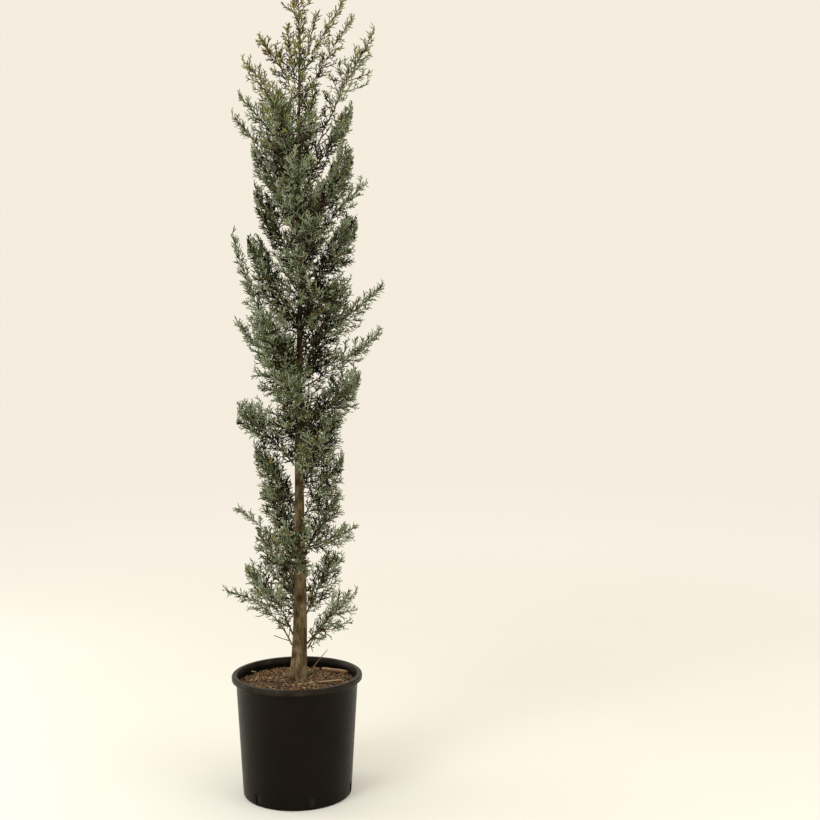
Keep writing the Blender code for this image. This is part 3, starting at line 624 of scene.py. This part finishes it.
class Axes:
    """Many gently bent axes, held as arrays: root, way at the root, bend, and length."""

    def __init__(self, root, way, bend, length):
        self.root, self.way, self.bend, self.length = root, way, bend, length

    def __len__(self):
        return len(self.length)

    def points(self, rows, shares):
        along = (self.length[rows] * shares)[:, None]
        return self.root[rows] + (self.way[rows] + self.bend[rows] * shares[:, None]) * along

    def headings(self, rows, shares):
        return unit(self.way[rows] + 2 * self.bend[rows] * shares[:, None])

    def paths(self, shares):
        """Points at the same shares of every axis, as (count, shares, 3)."""
        rows = np.arange(len(self))
        return np.stack([self.points(rows, np.full(len(self), share)) for share in shares], axis=1)

    def chosen(self, rows):
        return Axes(self.root[rows], self.way[rows], self.bend[rows], self.length[rows])


def join_axes(groups):
    parts = zip(*[(axes.root, axes.way, axes.bend, axes.length) for axes in groups])
    return Axes(*[np.concatenate(part) for part in parts])


def random_bends(rng, ways):
    """A bend across each way: a little upwards and a little to any side."""
    bends = rng.normal(0, BEND_SPREAD, ways.shape) + np.array([0, 0, UPWARD_BEND])
    return bends - ways * (bends * ways).sum(1, keepdims=True)


def leaving(rng, roots, headings, shares, orders, starts, angles, lengths):
    """Axes that leave headings at an angle, each turned a golden angle from the one before."""
    side, up = frames_round(headings)
    turn = (starts + orders * GOLDEN_ANGLE + rng.uniform(-TURN_JITTER, TURN_JITTER, len(orders)))[:, None]
    out = side * np.cos(turn) + up * np.sin(turn)
    angle = (angles[0] + (angles[1] - angles[0]) * shares)[:, None]
    ways = unit(headings * np.cos(angle) + out * np.sin(angle))
    return Axes(roots, ways, random_bends(rng, ways), lengths * rng.uniform(*LENGTH_RANGE, len(orders)))


def side_axes(rng, parents, step, span, angles, longest):
    """Axes at even steps along each parent, as the axes and the rows of their parents.

    longest is a function of the parents' lengths, for the axes at their roots.
    """
    counts = np.maximum(1, np.round(parents.length * (span[1] - span[0]) / step)).astype(int)
    rows = np.repeat(np.arange(len(parents)), counts)
    orders = np.arange(len(rows)) - np.repeat(np.cumsum(counts) - counts, counts)
    spread = rng.uniform(*COUNT_SPREAD, len(rows))
    shares = span[0] + (span[1] - span[0]) * (orders + spread) / counts[rows]
    starts = rng.uniform(0, 2 * math.pi, len(parents))[rows]
    roots = parents.points(rows, shares)
    headings = parents.headings(rows, shares)
    lengths = longest(parents.length[rows]) * (1 - SHORTER_TO_TIP * shares)
    return leaving(rng, roots, headings, shares, orders, starts, angles, lengths), rows


def fitted(rng, axes, index, spaces):
    """The axes, each at the largest size that keeps to the mass's space, and the rows that found one.

    Those cut short end at uneven lengths, so that a mass has a ragged edge.
    """
    sizes = np.zeros(len(axes))
    rows = np.arange(len(axes))
    for size in FIT_SIZES:
        left = rows[sizes == 0]
        if not len(left):
            break
        trial = axes.chosen(left)
        trial.length *= size
        samples = trial.paths(FIT_SAMPLES)
        inside = spaces.allows(index, samples.reshape(-1, 3)).reshape(len(left), -1).all(1)
        sizes[left[inside]] = size
    sizes *= np.where(sizes < 1, rng.uniform(LEAST_OF_CUT, 1, len(axes)), 1)
    kept = rows[sizes > 0]
    result = axes.chosen(kept)
    result.length *= sizes[kept]
    return result, kept


def grow_mass(index, shoot, spaces):
    """One shoot's fine growth: its twigs, its sprays, the branchlets and the rows of their sprays."""
    rng = np.random.default_rng((TREE_SEED, index))
    stem = shoot.points(shoot.leafy_shares(SHOOT_STEPS + 1))
    stem_length = np.linalg.norm(stem[1:] - stem[:-1], axis=1).sum()
    twigs, _ = fitted(rng, stem_twigs(rng, shoot, stem_length), index, spaces)
    if shoot.bare > shoot.start:
        twigs = join_axes([twigs, bare_twigs(rng, shoot)])
    from_trunk, _ = fitted(np.random.default_rng((TREE_SEED, index, 1)), trunk_twigs(), index, spaces)
    if len(from_trunk):
        twigs = join_axes([twigs, from_trunk])
    stem_sprays, _ = fitted(rng, stem_end_sprays(rng, shoot, stem_length), index, spaces)
    side_sprays, _ = side_axes(
        rng, twigs, shoot.habit["spray_step"], SPRAY_SPAN, SPRAY_ANGLES, lambda length: length * SPRAY_OF_TWIG
    )
    side_sprays, _ = fitted(rng, side_sprays, index, spaces)
    sprays = join_axes([side_sprays, twig_ends(twigs), stem_sprays])
    leaves, rows = side_axes(rng, sprays, LEAF_STEP, LEAF_SPAN, LEAF_ANGLES, lambda length: LEAF_LENGTH)
    leaves, kept = fitted(rng, leaves, index, spaces)
    return twigs, sprays, leaves, rows[kept]


def along_stem(rng, shoot, count, ends, span, angles, lengths):
    """Axes at even steps along a shoot between two ends. lengths is a function of the share of the way."""
    orders = np.arange(count)
    along = span[0] + (span[1] - span[0]) * (orders + rng.uniform(*COUNT_SPREAD, count)) / count
    shares = ends[0] + (ends[1] - ends[0]) * along
    start, roots = rng.uniform(0, 2 * math.pi), shoot.points(shares)
    return leaving(rng, roots, shoot.tangents(shares), along, orders, start, angles, lengths(along))


def stem_twigs(rng, shoot, stem_length):
    """Twigs up the stem, longest low down."""
    habit, ends = shoot.habit, (shoot.leafy_from(), 1)
    count = max(LEAST_ON_STEM, round(stem_length / habit["twig_step"]))

    def lengths(along):
        return habit["twig"] * np.clip(habit["fall"] * (1 - along), LEAST_TWIG, 1)

    return along_stem(rng, shoot, count, ends, TWIG_SPAN, TWIG_ANGLES, lengths)


def trunk_twigs():
    """Short twigs from the trunk itself, all round it, where the shoots leave it open."""
    rng = np.random.default_rng((TREE_SEED, len(PLACED) + FILL_SHOOTS + 1))
    heights = np.arange(*TRUNK_TWIG_HEIGHTS, TRUNK_TWIG_STEP)
    orders = np.arange(len(heights))
    roots = np.stack([*trunk_axis(heights), heights], axis=1)
    upwards = np.tile((0.0, 0.0, 1.0), (len(heights), 1))
    lengths = np.full(len(heights), TRUNK_TWIG_LENGTH)
    shares = TRUNK_TWIG_RISE * orders / len(orders)
    return leaving(rng, roots, upwards, shares, orders, 0.0, TWIG_ANGLES, lengths)


def bare_twigs(rng, shoot):
    """Fine twigs on a bough below its foliage, all pointing away from the trunk and clear of the pot."""
    ends = (shoot.start, shoot.bare)
    bough = shoot.points(ends)
    count = max(2, round(np.linalg.norm(bough[1] - bough[0]) / BARE_TWIG_STEP))
    lengths = np.full(count, BARE_TWIG_LENGTH)
    twigs = along_stem(rng, shoot, count, ends, (0, 1), TWIG_ANGLES, lambda along: lengths)
    tips = twigs.paths((1,))[:, 0]
    outwards = distances_from_trunk(tips) > distances_from_trunk(twigs.root)
    return twigs.chosen(np.flatnonzero(outwards & (tips[:, 2] > POT_HEIGHT)))


def stem_end_sprays(rng, shoot, stem_length):
    """Sprays that leave the stem itself, and the spray that ends it."""
    ends = (shoot.leafy_from(), 1)
    count = max(LEAST_ON_STEM, round(stem_length / shoot.habit["spray_step"]))

    def lengths(along):
        return STEM_SPRAY_LENGTH * (1 - SHORTER_TO_TIP * along)

    sides = along_stem(rng, shoot, count, ends, (0, 1), SPRAY_ANGLES, lengths)
    root = shoot.points([max(END_SPRAY_FROM, 1 - shoot.habit["twig"] / stem_length)])
    end = shoot.tip - root
    return join_axes([sides, Axes(root, unit(end), np.zeros((1, 3)), np.linalg.norm(end, axis=1))])


def twig_ends(twigs):
    """The outer part of each twig, as a spray."""
    roots, tips = twigs.paths((END_SPRAY_FROM, 1)).swapaxes(0, 1)
    return Axes(roots, unit(tips - roots), np.zeros(roots.shape), np.linalg.norm(tips - roots, axis=1))


def tones_of(rng, sprays):
    """A tone for each spray, by where it is: painted shade and brown inside, olive at the tips high up."""
    middles = sprays.paths((0.5,))[:, 0]
    heights = middles[:, 2]
    inside = np.clip(INSIDE_AT_STEM - distances_from_trunk(middles) / INSIDE_DEPTH, 0, 1)
    places = {
        "anywhere": np.ones(len(sprays)),
        "inside": inside,
        "outside": 1 - inside,
        "high": np.clip((heights - HIGH_FROM) / HIGH_RISE, 0, 1),
        "low": np.clip((LOW_TO - heights) / LOW_RISE, 0, 1),
        # Bands of painted shade, at the heights where the crown is darkest
        "dark": sum(np.exp(-(((heights - height) / spread) ** 2)) for height, spread in PAINTED_SHADE_BANDS),
    }
    table = np.stack(
        [
            sum(share * math.prod(places[word] for word in words.split()) for words, share in shares.items())
            for shares in TONE_SHARES.values()
        ],
        axis=1,
    )
    table = np.cumsum(table / table.sum(1, keepdims=True), axis=1)
    return (rng.random(len(sprays))[:, None] > table).sum(1).clip(0, len(TONES) - 1)


def build_foliage(shoots, spaces):
    """All fine growth, joined by kind and by tone."""
    nodes = [f"foliage_{index + 1:02d}" for index in range(len(shoots))]
    by_tone = {name: [] for name in TONES}
    twig_parts = []
    for index, shoot in enumerate(shoots):
        twigs, sprays, leaves, rows = grow_mass(index, shoot, spaces)
        tones = tones_of(np.random.default_rng((TREE_SEED, index, 1)), sprays)
        twig_parts.append(axis_tubes(twigs, *TWIG_TUBE))
        for number, parts in enumerate(by_tone.values()):
            parts.append(axis_tubes(sprays.chosen(np.flatnonzero(tones == number)), *SPRAY_TUBE))
            parts.append(axis_tubes(leaves.chosen(np.flatnonzero(tones[rows] == number)), *LEAF_TUBE))
    twig_parts += [stem_tube(shoot, shoot.leafy_shares(STEM_RINGS + 1), STEM_SIDES) for shoot in shoots]
    place(make_mesh_object("twigs", *merge(twig_parts), twig_material()), "bark", *nodes)
    for name, parts in by_tone.items():
        material = leaf_material(name, *TONES[name])
        for number, group in enumerate(in_pieces(parts)):
            piece = make_mesh_object(f"leaves_{name}_{number + 1}", *merge(group), material)
            place(piece, "foliage", *nodes)


def merge(parts):
    """One array of points and one of triangles from many."""
    offsets = np.cumsum([0] + [len(points) for points, _ in parts[:-1]])
    points = np.concatenate([points for points, _ in parts])
    faces = np.concatenate([faces + offset for (_, faces), offset in zip(parts, offsets)])
    return points, faces


def in_pieces(parts):
    """Groups of parts, each under MOST_TRIANGLES."""
    groups, count = [[]], 0
    for part in parts:
        if count + len(part[1]) > MOST_TRIANGLES:
            groups.append([])
            count = 0
        groups[-1].append(part)
        count += len(part[1])
    return groups


def axis_tubes(axes, shares, radii, sides):
    return tubes(axes.paths(shares), np.repeat(radii[None], len(axes), 0), sides)


def stem_tube(shoot, shares, sides):
    return tubes(shoot.points(shares)[None], shoot.radii(shares[:-1])[None] * STEM_THINNESS, sides)


def build_boughs(shoots, material):
    """The bare starts of shoots, each a piece of its own."""
    bare = [shoot for shoot in shoots if shoot.bare > shoot.start]
    for number, shoot in enumerate(bare, 1):
        part = stem_tube(shoot, np.linspace(shoot.start, shoot.bare, STEM_RINGS + 1), BOUGH_SIDES)
        piece = make_mesh_object(f"bough_bark_{number:02d}", *part, material)
        place(piece, "bark", f"bough_{number:02d}")


def build_trunk(material):
    """The trunk with the relief of its bark, and spurs where the roots begin."""
    up = np.linspace(0, 1, TRUNK_RINGS) ** RING_CROWDING
    rings = []
    for height in trunk_foot() + (TRUNK_TOP - trunk_foot()) * up:
        x, y = trunk_axis(height)
        rings.append([])
        for turn in 2 * math.pi * np.arange(TRUNK_SIDES) / TRUNK_SIDES:
            out = trunk_radius(height) * (1 + bark_relief(turn, height))
            rings[-1].append((x + out * math.cos(turn), y + out * math.sin(turn), height))
    foot, top = [[np.mean(ring, axis=0)] for ring in (rings[0], rings[-1])]
    place(make_mesh_object("trunk_bark", *skinned([foot, *rings, top]), material), "bark", "trunk")


def bark_relief(turn, height):
    """How far the bark stands out, as a share of the radius."""
    x, y = math.cos(turn), math.sin(turn)
    grain = sum(
        size * noise.noise(Vector((x * across, y * across, height * along + offset)))
        for size, across, along, offset in BARK_RELIEF
    )
    spurs = sum(
        size * max(0.0, math.cos(turn - math.radians(side))) ** sharpness
        * math.exp(-(height - trunk_foot()) / fade)
        for side, size, sharpness, fade in ROOT_SPURS
    )
    return grain + spurs


def pot_wall_radius(height):
    share = height / (POT_HEIGHT - LIP_HEIGHT)
    return POT_BASE_RADIUS + (POT_NECK_RADIUS - POT_BASE_RADIUS) * share


def arc(centre, radius, start, end, steps):
    """Points of an arc in a profile, angles in degrees from outwards."""
    turns = np.radians(np.linspace(start, end, steps + 1))
    return [(centre[0] + radius * math.cos(turn), centre[1] + radius * math.sin(turn)) for turn in turns]


def skinned(rings):
    """Rings of points, and triangles over them."""
    return np.concatenate(rings), skin([len(ring) for ring in rings])


def circle(sides):
    """Steps round a circle, as (cos, sin)."""
    return [(math.cos(turn), math.sin(turn)) for turn in 2 * math.pi * np.arange(sides) / sides]


def turned(profile, sides):
    """A profile of (radius, height) turned round Z. A radius of 0 is a pole."""
    ways = circle(sides)
    return skinned([[(r * x, r * y, height) for x, y in (ways if r else ways[:1])] for r, height in profile])


def build_pot(material):
    """A turned shell with a rolled lip, a bead under it and drain slots cut through its lower edge."""
    neck = POT_HEIGHT - LIP_HEIGHT
    base_arc = arc((POT_BASE_RADIUS - BASE_ROUNDING, BASE_ROUNDING), BASE_ROUNDING, -90, 0, 6)
    wall = [(pot_wall_radius(height), height) for height in np.linspace(WALL_FROM, neck - NECK_EASE, 9)]
    under = [(pot_wall_radius(neck) + NECK_STEP, neck - NECK_STEP), (POT_RIM_RADIUS - LIP_UNDERCUT, neck)]
    lip = [(POT_RIM_RADIUS - LIP_FOOT[0], neck + LIP_FOOT[1])]
    lip += arc((POT_RIM_RADIUS - LIP_ROUNDING, POT_HEIGHT - LIP_ROUNDING), LIP_ROUNDING, 0, 90, 8)
    lip_inner = pot_wall_radius(POT_HEIGHT) - POT_WALL
    inside = [(lip_inner + LIP_INNER_EDGE[0], POT_HEIGHT), (lip_inner, POT_HEIGHT - LIP_INNER_EDGE[1])]
    inside += [(pot_wall_radius(h) - POT_WALL, h) for h in np.linspace(neck, POT_WALL, 6)]
    profile = [(0, 0), *base_arc, *wall, *under, *lip, *inside, (0, POT_WALL)]
    pot = make_mesh_object("pot_shell", *turned(profile, POT_SIDES), material)
    cut_slots(pot)
    pot.data.shade_smooth()
    pot.data.set_sharp_from_angle(angle=SHARP_ANGLE)
    place(pot, "pot_plastic", "pot")


def cut_slots(pot):
    """Cuts the drain slots through the pot's lower edge."""
    cutters = bpy.data.collections.new("drain_slots")
    bpy.context.scene.collection.children.link(cutters)
    middle = POT_BASE_RADIUS - POT_WALL / 2
    for k in range(DRAIN_SLOTS):
        turn = DRAIN_SLOT_TURN + 2 * math.pi * k / DRAIN_SLOTS
        where = (middle * math.cos(turn), middle * math.sin(turn), POT_WALL + DRAIN_SLOT_HEIGHT / 2)
        bpy.ops.mesh.primitive_cube_add(size=1, location=where)
        cutter = bpy.context.object
        cutter.rotation_euler.z = turn
        cutter.scale = (DRAIN_SLOT_DEPTH, DRAIN_SLOT_WIDTH, DRAIN_SLOT_HEIGHT)
        for collection in list(cutter.users_collection):
            collection.objects.unlink(cutter)
        cutters.objects.link(cutter)
    modifier = pot.modifiers.new("slots", "BOOLEAN")
    modifier.operand_type = "COLLECTION"
    modifier.collection = cutters
    modifier.solver = "EXACT"
    graph = bpy.context.evaluated_depsgraph_get()
    cut = bpy.data.meshes.new_from_object(pot.evaluated_get(graph))
    pot.modifiers.clear()
    pot.data = cut
    for cutter in list(cutters.objects):
        bpy.data.objects.remove(cutter, do_unlink=True)
    bpy.data.collections.remove(cutters)


def soil_height(x, y):
    """The compost's surface, with small lumps."""
    edge = pot_wall_radius(SOIL_EDGE_HEIGHT) - POT_WALL
    share = min(1.0, max(0.0, (edge - math.hypot(x, y)) / (edge - SOIL_SEAT_RADIUS)))
    lumps = sum(size * noise.noise(Vector((x * fine, y * fine, offset))) for size, fine, offset in SOIL_LUMPS)
    return SOIL_EDGE_HEIGHT + SOIL_MOUND * share**SOIL_STEEPENING + lumps - SOIL_SINK


def build_soil(material):
    """Lumpy compost down to the pot's floor."""
    edge = pot_wall_radius(SOIL_EDGE_HEIGHT) - POT_WALL - CLEARANCE
    foot = pot_wall_radius(POT_WALL) - POT_WALL - CLEARANCE
    bottom = POT_WALL + CLEARANCE
    ways = circle(SOIL_SIDES)
    rings = [[(0, 0, soil_height(0, 0))]]
    for away in edge * np.arange(1, SOIL_RINGS + 1) / SOIL_RINGS:
        rings.append([(away * x, away * y, soil_height(away * x, away * y)) for x, y in ways])
    rings += [[(foot * x, foot * y, bottom) for x, y in ways], [(0, 0, bottom)]]
    points, faces = skinned(rings)
    place(make_mesh_object("compost_bed", points, faces[:, ::-1], material), "compost", "soil")


def build_chips(materials):
    """Flat splinters of bark in four tones, lying over each other at all angles."""
    rng = np.random.default_rng(TREE_SEED)
    edge = pot_wall_radius(SOIL_EDGE_HEIGHT) - POT_WALL - CLEARANCE
    away = edge * np.sqrt(rng.random(CHIPS)) * CHIP_SPREAD
    turn = rng.uniform(0, 2 * math.pi, CHIPS)
    x, y = away * np.cos(turn), away * np.sin(turn)
    tones = rng.choice(len(materials), CHIPS, p=CHIP_SHARES)
    lengths = rng.gamma(CHIP_LENGTH_SHAPE, CHIP_LENGTH_SCALE, CHIPS) + LEAST_CHIP_LENGTH
    widths, thicknesses = rng.uniform(*CHIP_WIDTHS, CHIPS), rng.uniform(*CHIP_THICKNESSES, CHIPS)
    sizes = np.stack([lengths, widths, thicknesses], axis=1)
    square = ((-0.5, -0.5), (0.5, -0.5), (0.5, 0.5), (-0.5, 0.5))
    corners = np.array([(*corner, up) for up in (-0.5, 0.5) for corner in square])
    triangles = np.concatenate([skin([4, 4]), [(0, 2, 1), (0, 3, 2), (4, 5, 6), (4, 6, 7)]])
    points = corners * sizes[:, None] * rng.uniform(*CHIP_SQUASH, (CHIPS, len(corners), 3))
    spin, tip = rng.uniform(0, 2 * math.pi, CHIPS), rng.normal(0, CHIP_TIP, CHIPS)
    for axis, angles in enumerate((rng.normal(0, CHIP_ROLL, CHIPS), tip, spin)):
        points = turn_about(points, angles, axis)
    heights = np.array([soil_height(a, b) for a, b in zip(x, y)])
    heights = heights + sizes[:, 2] * CHIP_LIFT + rng.uniform(0, CHIP_PILE, CHIPS)
    points += np.stack([x, y, heights], axis=1)[:, None]
    for number, material in enumerate(materials):
        chosen = points[tones == number].reshape(-1, 3)
        faces = np.arange(0, len(chosen), len(corners))[:, None, None] + triangles
        piece = make_mesh_object(f"bark_chips_{number + 1}", chosen, faces.reshape(-1, 3), material)
        piece.data.shade_flat()
        place(piece, "compost", "soil")


def build_sticks(materials):
    """Stalks and a strip of bark on the compost, and one thin twig that stands in it."""
    shares = np.linspace(0, 1, STEM_RINGS + 1)
    for number, (start, end, radius, tone) in enumerate(STICKS):
        path = np.array(start) + (np.array(end) - np.array(start)) * shares[:, None]
        path[:, 2] += STICK_SAG * np.sin(math.pi * shares)
        waves = 1 + STICK_WAVE * np.sin(number + STICK_WAVES * shares[:-1])
        radii = radius * (1 - STICK_TAPER * shares[:-1]) * waves
        stick = tubes(path[None], radii[None], STICK_SIDES)
        place(make_mesh_object(f"stick_{number + 1}", *stick, materials[tone]), "compost", "soil")


def turn_about(points, angles, axis):
    """Each row of points turned about X, Y or Z by its angle."""
    first, second = [(1, 2), (2, 0), (0, 1)][axis]
    cos, sin = np.cos(angles)[:, None], np.sin(angles)[:, None]
    result = points.copy()
    result[..., first] = points[..., first] * cos - points[..., second] * sin
    result[..., second] = points[..., first] * sin + points[..., second] * cos
    return result


class Look:
    """A material in the making: its nodes, its shader and the places on its object."""

    def __init__(self, name):
        self.material = bpy.data.materials.new(name)
        self.material.use_nodes = True
        tree = self.material.node_tree
        self.new = tree.nodes.new
        self.link = tree.links.new
        self.shader = tree.nodes["Principled BSDF"]
        self.places = self.new("ShaderNodeTexCoord").outputs["Object"]

    def fill(self, node, inputs):
        """Links or sets a node's inputs. Returns its outputs."""
        for name, value in inputs.items():
            if isinstance(value, bpy.types.NodeSocket):
                self.link(value, node.inputs[name])
            else:
                node.inputs[name].default_value = value
        return node.outputs

    def done(self, inputs):
        """Fills the shader's own inputs. Returns the material."""
        self.fill(self.shader, inputs)
        return self.material

    def noise(self, scale, stops, detail=3.0, roughness=0.55, stretch=None):
        """A noise, and the colour it gives through stops of (position, colour)."""
        places = self.places
        if stretch:
            mapping = self.new("ShaderNodeMapping")
            places = self.fill(mapping, {"Vector": places, "Scale": stretch})["Vector"]
        texture = self.new("ShaderNodeTexNoise")
        inputs = {"Vector": places, "Scale": scale, "Detail": detail, "Roughness": roughness}
        grain = self.fill(texture, inputs)["Fac"]
        ramp = self.new("ShaderNodeValToRGB")
        while len(ramp.color_ramp.elements) < len(stops):
            ramp.color_ramp.elements.new(0.5)
        for element, (position, colour) in zip(ramp.color_ramp.elements, stops):
            element.position = position
            element.color = (*colour, 1)
        return grain, self.fill(ramp, {"Fac": grain})["Color"]

    def mix(self, factor, first, second, blend_type="MIX"):
        node = self.new("ShaderNodeMix")
        node.data_type = "RGBA"
        node.blend_type = blend_type
        return self.fill(node, {"Factor": factor, "A": first, "B": second})["Result"]

    def between(self, value, ends, interpolation="LINEAR"):
        """How far a value is from one end to the other, from 0 to 1."""
        node = self.new("ShaderNodeMapRange")
        node.interpolation_type = interpolation
        return self.fill(node, {"Value": value, "From Min": ends[0], "From Max": ends[1]})["Result"]

    def height(self):
        return self.fill(self.new("ShaderNodeSeparateXYZ"), {"Vector": self.places})["Z"]

    def distance(self, point):
        node = self.new("ShaderNodeVectorMath")
        node.operation = "DISTANCE"
        return self.fill(node, {0: self.places, 1: point})["Value"]

    def bump(self, grain, strength, distance):
        node = self.new("ShaderNodeBump")
        return self.fill(node, {"Strength": strength, "Distance": distance, "Height": grain})["Normal"]


def leaf_material(name, light, dark):
    """Waxy scale leaves: two close tones in fine grain."""
    look = Look("leaf_" + name)
    _, colour = look.noise(260, ((0.38, dark), (0.62, light)))
    return look.done({"Base Color": colour, "Roughness": 0.78, "Specular IOR Level": 0.08})


def twig_material():
    look = Look("twig_wood")
    _, colour = look.noise(120, TWIG_STOPS)
    return look.done({"Base Color": colour, "Roughness": 0.8})


def bark_material():
    """Grey-brown bark with reddish and olive patches, dark cracks along the stem and darker knots."""
    look = Look("bark")
    _, patches = look.noise(46, BARK_STOPS, detail=5, roughness=0.6, stretch=PATCH_STRETCH)
    cracks, crack_colour = look.noise(190, CRACK_STOPS, detail=4, roughness=0.6, stretch=CRACK_STRETCH)
    colour = look.mix(CRACK_STRENGTH, patches, crack_colour, "MULTIPLY")
    # Painted shade: the bark darkens upwards into the crown.
    up = look.between(look.height(), BARK_SHADE_HEIGHTS)
    colour = look.mix(up, colour, PAINTED_CROWN_SHADE, "MULTIPLY")
    for knot in KNOTS:
        near = look.between(look.distance(knot), KNOT_RADII, "SMOOTHSTEP")
        colour = look.mix(near, colour, KNOT_COLOUR, "MULTIPLY")
    bump = look.bump(cracks, strength=0.5, distance=0.0012)
    return look.done({"Base Color": colour, "Roughness": 0.85, "Specular IOR Level": 0.12, "Normal": bump})


def pot_material():
    """Black moulded plastic, satin, with faint scuffs and dust and a painted highlight on its lip."""
    look = Look("pot_plastic")
    _, plastic = look.noise(9, PLASTIC_STOPS, detail=6, roughness=0.6)
    # Dust with a painted highlight: the lip is lighter above the neck.
    _, dust_and_highlight = look.noise(34, LIP_DUST_AND_HIGHLIGHT_STOPS, detail=5, roughness=0.6)
    scuffs, gloss = look.noise(60, SCUFF_STOPS, detail=5, roughness=0.65)
    colour = look.mix(look.between(look.height(), LIP_DUST_AND_HIGHLIGHT_HEIGHTS), plastic, dust_and_highlight)
    bump = look.bump(scuffs, strength=0.10, distance=0.0005)
    return look.done({"Base Color": colour, "Roughness": gloss, "Normal": bump, **PLASTIC_FINISH})


def compost_material():
    """Crumbs of brown compost, with painted shade low down, where it shows through the slots."""
    look = Look("compost")
    crumbs, colour = look.noise(170, COMPOST_STOPS, detail=6, roughness=0.65)
    # Painted shade: the compost darkens downwards, where it shows through the slots.
    down = look.between(look.height(), COMPOST_SHADE_HEIGHTS)
    colour = look.mix(down, colour, PAINTED_SLOT_SHADE, "MULTIPLY")
    bump = look.bump(crumbs, strength=0.8, distance=0.002)
    return look.done({"Base Color": colour, "Roughness": 0.95, "Normal": bump})


def chip_material(name, light, dark):
    look = Look(name)
    grain, colour = look.noise(300, ((0.35, dark), (0.65, light)), detail=4, roughness=0.6)
    bump = look.bump(grain, strength=0.4, distance=0.0006)
    return look.done({"Base Color": colour, "Roughness": 0.85, "Normal": bump})


def floor_material():
    look = Look("floor")
    _, colour = look.noise(1.5, FLOOR_STOPS)
    # Painted light: the floor pales with distance to near white.
    away = look.between(look.distance((0, 0, 0)), FLOOR_PAINTED_LIGHT_RANGE, "SMOOTHSTEP")
    return look.done({"Base Color": look.mix(away, colour, PAINTED_FAR_FLOOR_LIGHT), "Roughness": 0.9})


def build_stage():
    """A pale floor, soft light from the front and both sides, and the camera."""
    scene = bpy.context.scene
    profile = [(0, -FLOOR_THICKNESS), (FLOOR_RADIUS, -FLOOR_THICKNESS), (FLOOR_RADIUS, 0.0), (0, 0.0)]
    floor = make_mesh_object("floor", *turned(profile, FLOOR_SIDES), floor_material())
    floor.data.shade_flat()
    scene.world = bpy.data.worlds.new("studio")
    scene.world.use_nodes = True
    background = scene.world.node_tree.nodes["Background"]
    background.inputs["Color"].default_value = SURROUNDINGS
    background.inputs["Strength"].default_value = SURROUNDINGS_STRENGTH
    for name, light in LIGHTS.items():
        add_area_light(name, *light)
    camera = bpy.data.objects.new("camera", bpy.data.cameras.new("camera"))
    camera.data.sensor_width = SENSOR_MM
    camera.data.lens = CAMERA_LENS_MM
    camera.location = CAMERA_PLACE
    camera.rotation_euler = (CAMERA_TILT, 0, 0)
    scene.collection.objects.link(camera)
    scene.camera = camera
    scene.view_settings.view_transform = "Standard"


def add_area_light(name, place_at, aim, size, watts):
    light = bpy.data.objects.new(name, bpy.data.lights.new(name, "AREA"))
    light.data.size = size
    light.data.energy = watts
    light.location = place_at
    light.rotation_euler = (Vector(aim) - Vector(place_at)).to_track_quat("-Z", "Y").to_euler()
    bpy.context.scene.collection.objects.link(light)


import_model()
build_stage()
build_pot(pot_material())
build_soil(compost_material())
chip_materials = [chip_material(name, *colours) for name, colours in CHIP_TONES.items()]
build_chips(chip_materials)
build_sticks(chip_materials)
bark = bark_material()
build_trunk(bark)
shoots = grow_shoots()
build_boughs(shoots, bark)
build_foliage(shoots, Spaces(shoots))
